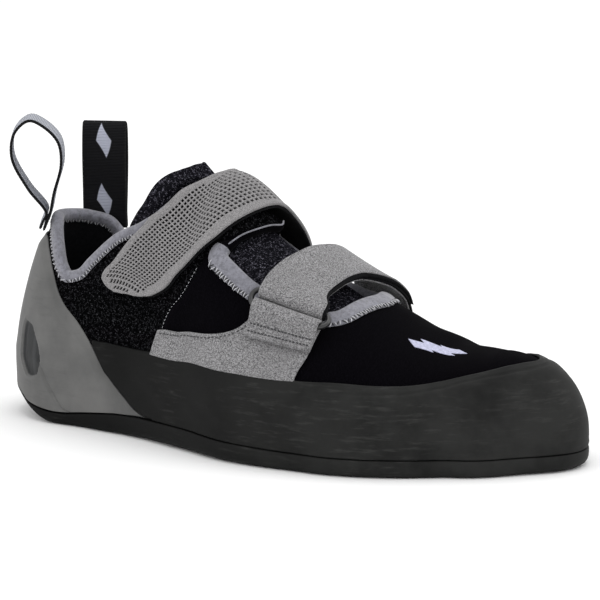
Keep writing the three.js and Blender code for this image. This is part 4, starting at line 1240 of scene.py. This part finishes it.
def build_tongue():
    aside = np.linspace(-TONGUE_ASIDE, TONGUE_ASIDE, 150)[:, None]
    back = curve(TONGUE_TOP.aside, TONGUE_TOP.back, np.abs(aside))
    at = mix(back, TONGUE_FRONT, np.linspace(0, 1, 120)[None] ** 1.5)
    deep = -UPPER_WALL - EDGE_GAP - BINDING_WALL - 2 * GAP
    rise = TONGUE_RISE * smooth(0.40, 0.28, np.abs(aside))
    climbing = COLLAR_OUTER.at > 0.2
    collar = np.interp(1 - np.abs(aside), COLLAR_OUTER.rib[climbing], COLLAR_OUTER.at[climbing])
    collar = collar + 0.008 * smooth(0.2, 0.05, np.abs(aside))
    lift = deep + rise * smooth(collar - 0.001, collar - 0.016, at)
    puff = 0.35 * np.sin(aside * 23 + 1) * np.sin(at * 41) * smooth(TONGUE_ASIDE, 0.3, np.abs(aside))
    outer, inner = over(at, aside, lift + puff), over(at, aside, lift - TONGUE_WALL)
    wall_piece("tongue_panel", "tongue", outer, inner, 1.1, [TONGUE_MESH, LINING])


# The upper strap's face: rows of square holes inside a plain border. Each pitch has a hole and two bars.
HOLE_PITCH = 1.57
HOLE_ROWS = 14
HOLE_CUTS = np.array([0, 0.64, 0.82])
STRAP_BORDER = 2.0
STRAP_ENDS = np.array([0, 0.15, 0.5, 1.1])
FIRST_HOLE = 1.9


def strap_at(strap, aside, share):
    """The station at a share of the way across a strap."""
    return mix(curve(strap.aside, strap.back, aside), curve(strap.aside, strap.front, aside), share)


def build_ankle_strap():
    t = ANKLE_STRAP
    fine = np.linspace(t.aside[0], t.aside[-1], 800)
    back, front = (over(strap_at(t, fine, share), fine, 0 * fine) for share in (0, 1))
    length = run((back + front) / 2, 0)
    broad = np.linalg.norm(back - front, axis=1)
    count = int((length[-1] - 5) / HOLE_PITCH)
    pattern = (np.arange(count)[:, None] + HOLE_CUTS).ravel()
    along = np.concatenate([STRAP_ENDS, FIRST_HOLE + pattern * HOLE_PITCH, length[-1:]])
    aside = np.interp(along, length, fine)[:, None]
    width = np.interp(along, length, broad)[:, None]
    across = ((np.arange(HOLE_ROWS)[:, None] + HOLE_CUTS).ravel() - HOLE_ROWS / 2 + 0.22)[None] * HOLE_PITCH
    half = width / 2 - STRAP_BORDER
    field = np.sign(across) * (np.minimum(np.abs(across), half) + 0.02 * np.maximum(np.abs(across) - half, 0))
    rim = np.minimum(STRAP_BORDER, 0.3 * width) * np.array([[0, 0.15, 0.5]])
    place = np.concatenate([rim, field + width / 2, (width - rim)[:, ::-1]], 1)
    share = place / width
    at = strap_at(t, aside, share)
    base = curve(t.aside, t.lift, aside) + 0 * at
    cuts = len(HOLE_CUTS)
    row = np.arange(len(along) - 1)[:, None] - len(STRAP_ENDS)
    column = np.arange(share.shape[1] - 1)[None] - rim.shape[1]
    hole = (row >= 0) & (row < cuts * (count - 1)) & (column >= 0) & (column < cuts * (HOLE_ROWS - 1))
    hole = hole & (row % cuts == 0) & (column % cuts == 0)
    reach = np.abs(place - width / 2)
    hole &= np.maximum(reach[:-1, 1:], reach[:-1, :-1]) < half[:-1] - 0.1
    from_rim = width / 2 - reach
    field = smooth(STRAP_BORDER - 0.5, STRAP_BORDER, from_rim) * smooth(1.0, 1.6, along[:, None])
    sag = 0.25 * np.sin(aside * 19 + share * 2)
    top = base + 2.45 - 0.35 * field + sag
    outer, inner = over(at, aside, top), over(at, aside, base + 1.15 + sag)
    wall_piece("ankle_strap_face", "strap_top", outer, inner, 0.5, [STRAP_FABRIC], ~hole, covers=False)
    share = spread(0.012, 1.02, 30, 0.5)[None]
    aside = spread(t.aside[0] + 0.006, t.aside[-1], 220, 0.2)[:, None]
    at = strap_at(t, aside, share)
    base = curve(t.aside, t.lift, aside) + 0 * at
    sag = 0.25 * np.sin(aside * 19 + share * 2)
    outer, inner = over(at, aside, base + 1.1 + sag), over(at, aside, base + sag * smooth(0, 1, base))
    wall_piece("ankle_strap_back", "strap_top", outer, inner, 0.5, [PILE])


def fold_at(share):
    return mix(TOE_STRAP.back[0], TOE_STRAP.front[0], share)


def lean(at):
    """How far the ring and what holds it lean aside along the ring's long bars."""
    return RING_LEAN * (at - fold_at(0.5))


BETWEEN = over(0.55, -0.36, 0.0) - over(0.55, -0.26, 0.0)
ASIDE_STEP = 0.1 / float(np.linalg.norm(BETWEEN))


def ways(points, across):
    """The way out at each point of a band's lines, square to its path and to the way across."""
    before = np.concatenate([points[:1], points[:-1]])
    after = np.concatenate([points[1:], points[-1:]])
    return unit(np.cross(after - before, across))


# Which way each band comes to the ring, and the long bar's distance aside.
STRAP_SIDE, KEEPER_SIDE = 1, -1


def bar_aside(side):
    return RING_ASIDE + side * RING_REACH / 2 * ASIDE_STEP


def folded(side, radius, wall, go, back, close, at, height, upright):
    """A band's middle: to the ring's long bar, round it and back on itself. close: where its layers lie
    flat. at and height: its stations and lift by distance aside. upright: the share of the lean it loses."""
    middle = bar_aside(side)
    angle = np.linspace(-pi / 2, pi / 2, 17)[:, None]

    def flat(aside):
        return smooth(middle, close, aside)

    def low(aside):
        return mix(RING_LIFT - radius, height(aside), flat(aside))

    def leaning(aside):
        return aside + lean(at(aside)) * (1 - upright * flat(aside))

    go, back, bar = go[:, None], back[:, None], middle + 0 * angle
    apart = mix(2 * radius, wall + GAP, flat(back))
    turned = leaning(bar) - side * np.cos(angle) * radius * ASIDE_STEP
    return np.concatenate([
        over(at(go), leaning(go), low(go)),
        over(at(bar), turned, RING_LIFT + np.sin(angle) * radius),
        over(at(back), leaning(back), low(back) + apart),
    ])


def toe_strap_lines(share, end=TOE_STRAP_FREE, parts=90):
    """The lower strap's middle, from its root round the ring's bar to its free end, at shares across it."""
    t = TOE_STRAP
    middle = bar_aside(STRAP_SIDE)
    go = np.linspace(t.aside[-1], middle, parts)[:-1]
    back = np.linspace(middle, end, parts // 2)[1:]
    radius = RING_WIRE / 2 + GAP + TOE_STRAP_WALL / 2

    def at(aside):
        return strap_at(t, aside, share)

    def height(aside):
        return curve(t.aside, t.lift, aside)

    return folded(STRAP_SIDE, radius, TOE_STRAP_WALL, go, back, middle + STRAP_CLOSE, at, height, 1)


STRAP_CLOSE = 0.13
# How far the pile ends short of the suede.
PILE_SHORT = 0.006


def build_toe_strap():
    lines = toe_strap_lines(spread(0, 1, 34, 0.6)[None])
    way = ways(lines, (1, 0, 0))
    width, length = run(lines, 1), run(lines, 0)
    from_edge = np.minimum(width, width[:, -1:] - width)
    from_edge = np.minimum(from_edge, length[-1:] - length)
    seam = 0.22 * np.exp(-(((from_edge - 1.3) / 0.35) ** 2))
    grey = lines - way * (TOE_STRAP_WALL / 2 - seam)[..., None]
    wall_piece("front_strap_suede", "strap_front", grey, lines - way * 0.22, 0.4, [SUEDE])
    lines = toe_strap_lines(spread(0.02, 1.03, 34, 0.4)[None], TOE_STRAP_FREE - PILE_SHORT)
    way = ways(lines, (1, 0, 0))
    wave = 0.1 * np.sin(run(lines, 0) * 2.1) * np.sin(run(lines, 1) * 1.7)
    pile = lines + way * (TOE_STRAP_WALL / 2 + 0.15 + wave)[..., None]
    wall_piece("front_strap_pile", "strap_front", pile, lines - way * 0.18, 0.5, [PILE], covers=False)


def keeper_at(share):
    """The keeper's stations, a little wider than the strap's fold."""
    return mix(fold_at(0) - 0.002, fold_at(1) + 0.002, share)


def keeper_lines(share, parts=26):
    middle = bar_aside(KEEPER_SIDE)
    close, end = (middle - length * KEEPER_LENGTH * ASIDE_STEP for length in (0.5, 1))
    go, back = np.linspace(end, middle, parts)[:-1], np.linspace(middle, end, parts)[1:]
    radius = RING_WIRE / 2 + EDGE_GAP + KEEPER_WALL / 2

    def at(aside):
        return keeper_at(share)

    def height(aside):
        return KEEPER_FOOT

    return folded(KEEPER_SIDE, radius, KEEPER_WALL, go, back, close, at, height, 0)


# The keeper's rows of stitches, by distance from the bar, and their places across it.
KEEPER_ROWS = (6.4, 9.2)
KEEPER_STARTS = np.arange(0.05, 0.95, 0.052)
KEEPER_STITCH = 0.036


def build_keeper():
    lines = keeper_lines(spread(0, 1, 40, 0.5)[None])
    half = ways(lines, (-1, 0, 0)) * KEEPER_WALL / 2
    wall_piece("keeper_suede", "ring_keeper", lines + half, lines - half, 0.4, [SUEDE])
    share = np.linspace(0, 1, 5)
    across = np.tile(KEEPER_STARTS[:, None] + KEEPER_STITCH * share, (len(KEEPER_ROWS), 1))
    rows = np.repeat(bar_aside(KEEPER_SIDE) - np.array(KEEPER_ROWS) * ASIDE_STEP, len(KEEPER_STARTS))[:, None]
    at = keeper_at(across)
    face = KEEPER_FOOT + GAP + 1.5 * KEEPER_WALL
    lift = face - 0.25 + 0.55 * np.sin(pi * share) + 0 * at
    paths = over(at, rows + lean(at), lift)
    points, quads = threads(paths, over(at, rows + lean(at), lift + 1) - paths, 0.3)
    mesh_piece("keeper_stitch", "ring_keeper", points, quads, [THREAD_DARK], covers=False)


RING_PARTS, RING_SIDES = 120, 20


def build_ring():
    half = RING_REACH / 2 * ASIDE_STEP
    start, end = fold_at(0) - RING_MARGIN / SPINE_RATE, fold_at(1) + RING_MARGIN / SPINE_RATE
    places = []
    for first, side, way in ((0, 1, 1), (90, 1, -1), (180, -1, -1), (270, -1, 1)):
        for angle in np.radians(first + np.linspace(0, 90, 9)):
            at = (end if way > 0 else start) + (cos(angle) - way) * RING_CORNER / SPINE_RATE
            aside = RING_ASIDE + side * half + (sin(angle) - side) * RING_CORNER * ASIDE_STEP
            places.append((at, aside + lean(at)))
    places = np.array(places + places[:1])
    length = run(over(*places.T, RING_LIFT + 0 * places[:, 0]), 0)
    even = resample(places, length, np.linspace(0, length[-1], RING_PARTS, endpoint=False))
    path = over(*even.T, RING_LIFT + 0 * even[:, 0])
    along = unit(np.roll(path, -1, 0) - np.roll(path, 1, 0))
    face = unit(np.cross(path[0] - path.mean(0), path[20] - path.mean(0)))
    across = unit(np.cross(along, face))
    up = np.cross(across, along)
    turn = np.linspace(0, 2 * pi, RING_SIDES, endpoint=False)[:, None]
    circle = across[:, None] * np.cos(turn) + up[:, None] * np.sin(turn)
    points = path[:, None] + circle * (RING_WIRE / 2)
    index = np.arange(RING_PARTS * RING_SIDES).reshape(RING_PARTS, RING_SIDES)
    after = np.roll(index, -1, 0)
    quads = np.stack([index, after, np.roll(after, -1, 1), np.roll(index, -1, 1)], -1).reshape(-1, 4)
    mesh_piece("wire_ring", "ring", points.reshape(-1, 3), quads, [RING_COAT])


# The pull loops.


def bend(spine, count):
    """A smooth path through points, evenly spaced, with knots set by the roots of their distances."""
    ends = np.array([2 * spine[0] - spine[1], *spine, 2 * spine[-1] - spine[-2]])
    gaps = np.linalg.norm(np.diff(ends, axis=0), axis=1) ** 0.5
    t = np.linspace(0, 1, 24, endpoint=False)[:, None]
    hill = t * t * (3 - 2 * t)
    parts = []
    for a, b, c, d, g0, g1, g2 in zip(ends, ends[1:], ends[2:], ends[3:], gaps, gaps[1:], gaps[2:]):
        leave = ((b - a) / g0 - (c - a) / (g0 + g1) + (c - b) / g1) * g1
        arrive = ((c - b) / g1 - (d - b) / (g1 + g2) + (d - c) / g2) * g1
        parts.append(b * (1 - hill) + c * hill + leave * t * (1 - t) ** 2 + arrive * t * t * (t - 1))
    places = np.concatenate([*parts, ends[-2:-1]])
    length = run(places, 0)
    return resample(places, length, np.linspace(0, length[-1], count))


# The loop's tape goes down into the shoe by these lengths on both sides of the collar.
LOOP_FEET = (7, 3.5, 0)
LOOP_STEPS = 170


def build_pull_loop(name, slot, ring, height, path, face):
    foot = float(collar_rib(ring))
    edge, way = last(ring, foot), normal(ring, foot)
    outward = unit(np.array([way[0], way[1], 0]))
    across = np.cross((0, 0, 1), outward)
    down = unit(last(ring, foot - 0.06) - edge)
    near = EDGE_GAP + BINDING_WALL + GAP + LOOP_MIDDLE
    far = near + LOOP_APART
    spine = [edge + way * near + down * length for length in LOOP_FEET]
    for share, up in zip(path.out, path.up):
        spine.append(edge + outward * (share * height + near) + np.array([0, 0, up * height]))
    spine += [edge + way * far + down * length for length in LOOP_FEET[::-1]]
    centre = bend(np.array(spine), LOOP_STEPS)
    share = spread(-0.5, 0.5, 22, 0.5)[None, :, None]
    twist = 0.35 * np.sin(np.linspace(0, 2 * pi, LOOP_STEPS))[:, None, None] * share
    lines = centre[:, None] + across * share * LOOP_WIDTH + outward * twist
    way = ways(lines, across)
    ribs = 0.05 * np.sin(run(lines, 0) * 2 * pi / 1.3)
    outer = lines + way * (LOOP_WALL / 2 + ribs)[..., None]
    inner = lines - way * (LOOP_WALL / 2 - ribs)[..., None]
    outer, inner = rounded(outer, inner, 0.45)
    points, quads, tags = slab(outer, inner)
    breadth = np.broadcast_to(share[..., 0], lines.shape[:2])
    selvedge = np.abs(np.tile(breadth.ravel(), 2)[quads].mean(1)) > 0.5 - SELVEDGE_WIDTH / LOOP_WIDTH
    chart = np.stack([run(lines, 0), breadth * LOOP_WIDTH], -1).reshape(-1, 2)
    mesh_piece(name, slot, points, quads, [face, SELVEDGE], selvedge | (tags == RIM), np.tile(chart, (2, 1)))


LOZENGE_STEP = 24.4


def lozenges(s, x, y, colour):
    """Pale slanted lozenges woven along the middle of a tape."""
    beat = s.math("FRACT", s.math("MULTIPLY", x, 1 / LOZENGE_STEP))
    beat = s.math("ABSOLUTE", s.math("SUBTRACT", beat, 0.5))
    slant = s.math("SINE", s.math("MULTIPLY", x, 2 * pi / LOZENGE_STEP))
    slant = s.math("ADD", y, s.math("MULTIPLY", slant, 1.1))
    away = s.math("ADD", s.math("MULTIPLY", beat, LOZENGE_STEP / 2.2), s.math("ABSOLUTE", slant))
    return s.blend(s.spread(away, 3.3, 2.9), colour, (0.50, 0.52, 0.62))


LOOP_FACE = webbing("loop_webbing", (0.010, 0.010, 0.012), lozenges)
LOOP_PALE = webbing("loop_webbing_pale", (0.52, 0.54, 0.60))
SELVEDGE = webbing("loop_selvedge", (0.010, 0.010, 0.011))


# The three pale marks on the toe: station, distance aside, length and width.
TOE_PRINT = table("""
    at     aside   long  wide
    0.738  -0.150  11.0  6.4
    0.757  -0.119  14.5  7.2
    0.776  -0.090  11.0  6.4
""")
PRINT_LEAN = 0.35


def build_toe_print():
    """Three pale lozenges printed on the vamp."""
    t = TOE_PRINT
    for i, (at, aside, long, wide) in enumerate(zip(t.at, t.aside, t.long, t.wide)):
        share = np.linspace(0, 1, 25)[:, None]
        half = wide / 2 * (1 - np.abs(2 * share - 1))
        across = np.linspace(-1, 1, 13)[None] * np.maximum(half, 0.02)
        lengthwise = (share - 0.5) * long + 0 * across
        station = at + (lengthwise + PRINT_LEAN * across) / SPINE_RATE
        sideways = aside + (across - 0.2 * lengthwise) * ASIDE_STEP
        flex = creases(np.where(sideways < 0, station, 2 - station), 1 - np.abs(sideways))
        points, quads, _ = slab(over(station, sideways, flex + 0.22), over(station, sideways, flex + 0.02))
        mesh_piece(f"toe_print_{i}", "upper", points, quads, [PRINT], covers=False)


draws = np.random.default_rng(7)
build_upper()
build_outsole()
build_insole()
build_toe_rand()
build_heel_rand()
build_collar_binding()
build_throat_binding()
build_overlay()
build_tongue()
build_ankle_strap()
build_toe_strap()
build_keeper()
build_ring()
build_pull_loop("loop_outer", "pull_loop_lateral", OUTER_LOOP_PLACE, LOOP_HEIGHT_OUTER, OUTER_LOOP, LOOP_PALE)
build_pull_loop("loop_inner", "pull_loop_medial", INNER_LOOP_PLACE, LOOP_HEIGHT_INNER, INNER_LOOP, LOOP_FACE)
build_toe_print()


# Floor, lights and camera.

floor_mesh = bpy.data.meshes.new("floor")
HALF = 12.0
corners = [(x * HALF, y * HALF, 0) for x, y in ((-1, -1), (1, -1), (1, 1), (-1, 1))]
floor_mesh.from_pydata(corners, [], [(0, 1, 2, 3)])
floor = bpy.data.objects.new("floor", floor_mesh)
bpy.context.scene.collection.objects.link(floor)
pale_floor = Shader("pale_floor", 0.9, Specular_IOR_Level=0.0)
floor_mesh.materials.append(pale_floor.set(Base_Color=(0.97, 0.97, 0.97)))


LIT_POINT = Vector((0, 0, 0.04))


def area_light(name, place, size, power):
    light = bpy.data.lights.new(name, "AREA")
    light.shape = "RECTANGLE"
    light.size, light.size_y = size
    light.energy = power
    lamp = bpy.data.objects.new(name, light)
    bpy.context.scene.collection.objects.link(lamp)
    lamp.location = place
    lamp.rotation_mode = "QUATERNION"
    lamp.rotation_quaternion = (LIT_POINT - Vector(place)).to_track_quat("-Z", "Y")


area_light("overhead", (0.1, 0.15, 1.5), (1.6, 1.2), 6)
area_light("front_left", (-0.9, -1.2, 0.8), (1.0, 1.0), 2.5)
area_light("right_back", (1.3, 0.5, 0.9), (0.8, 1.0), 3)

world = bpy.data.worlds.new("studio")
bpy.context.scene.world = world
world.use_nodes = True
world.node_tree.nodes["Background"].inputs["Color"].default_value = (1, 1, 1, 1)
world.node_tree.nodes["Background"].inputs["Strength"].default_value = 1.0

# The camera that was matched to the photograph, round a point in the last's frame.
AZIMUTH, ELEVATION = radians(29.49), radians(11.75)
DISTANCE = 1.453
FOCAL_PIXELS = 3705.5
CENTRE_PIXEL = (290.7, 334.6)
PICTURE = 600
TARGET = Vector(metres((118.15, -0.1, 41.02)))

back = Vector((sin(AZIMUTH) * cos(ELEVATION), -cos(AZIMUTH) * cos(ELEVATION), sin(ELEVATION)))
camera_data = bpy.data.cameras.new("camera")
camera_data.sensor_width = 36
camera_data.lens = camera_data.sensor_width * FOCAL_PIXELS / PICTURE
camera_data.shift_x = (PICTURE / 2 - CENTRE_PIXEL[0]) / PICTURE
camera_data.shift_y = (CENTRE_PIXEL[1] - PICTURE / 2) / PICTURE
camera_data.clip_end = 20
camera = bpy.data.objects.new("camera", camera_data)
bpy.context.scene.collection.objects.link(camera)
camera.location = TARGET + back * DISTANCE
camera.rotation_mode = "QUATERNION"
camera.rotation_quaternion = (-back).to_track_quat("-Z", "Y")
bpy.context.scene.camera = camera
bpy.context.scene.view_settings.view_transform = "Standard"
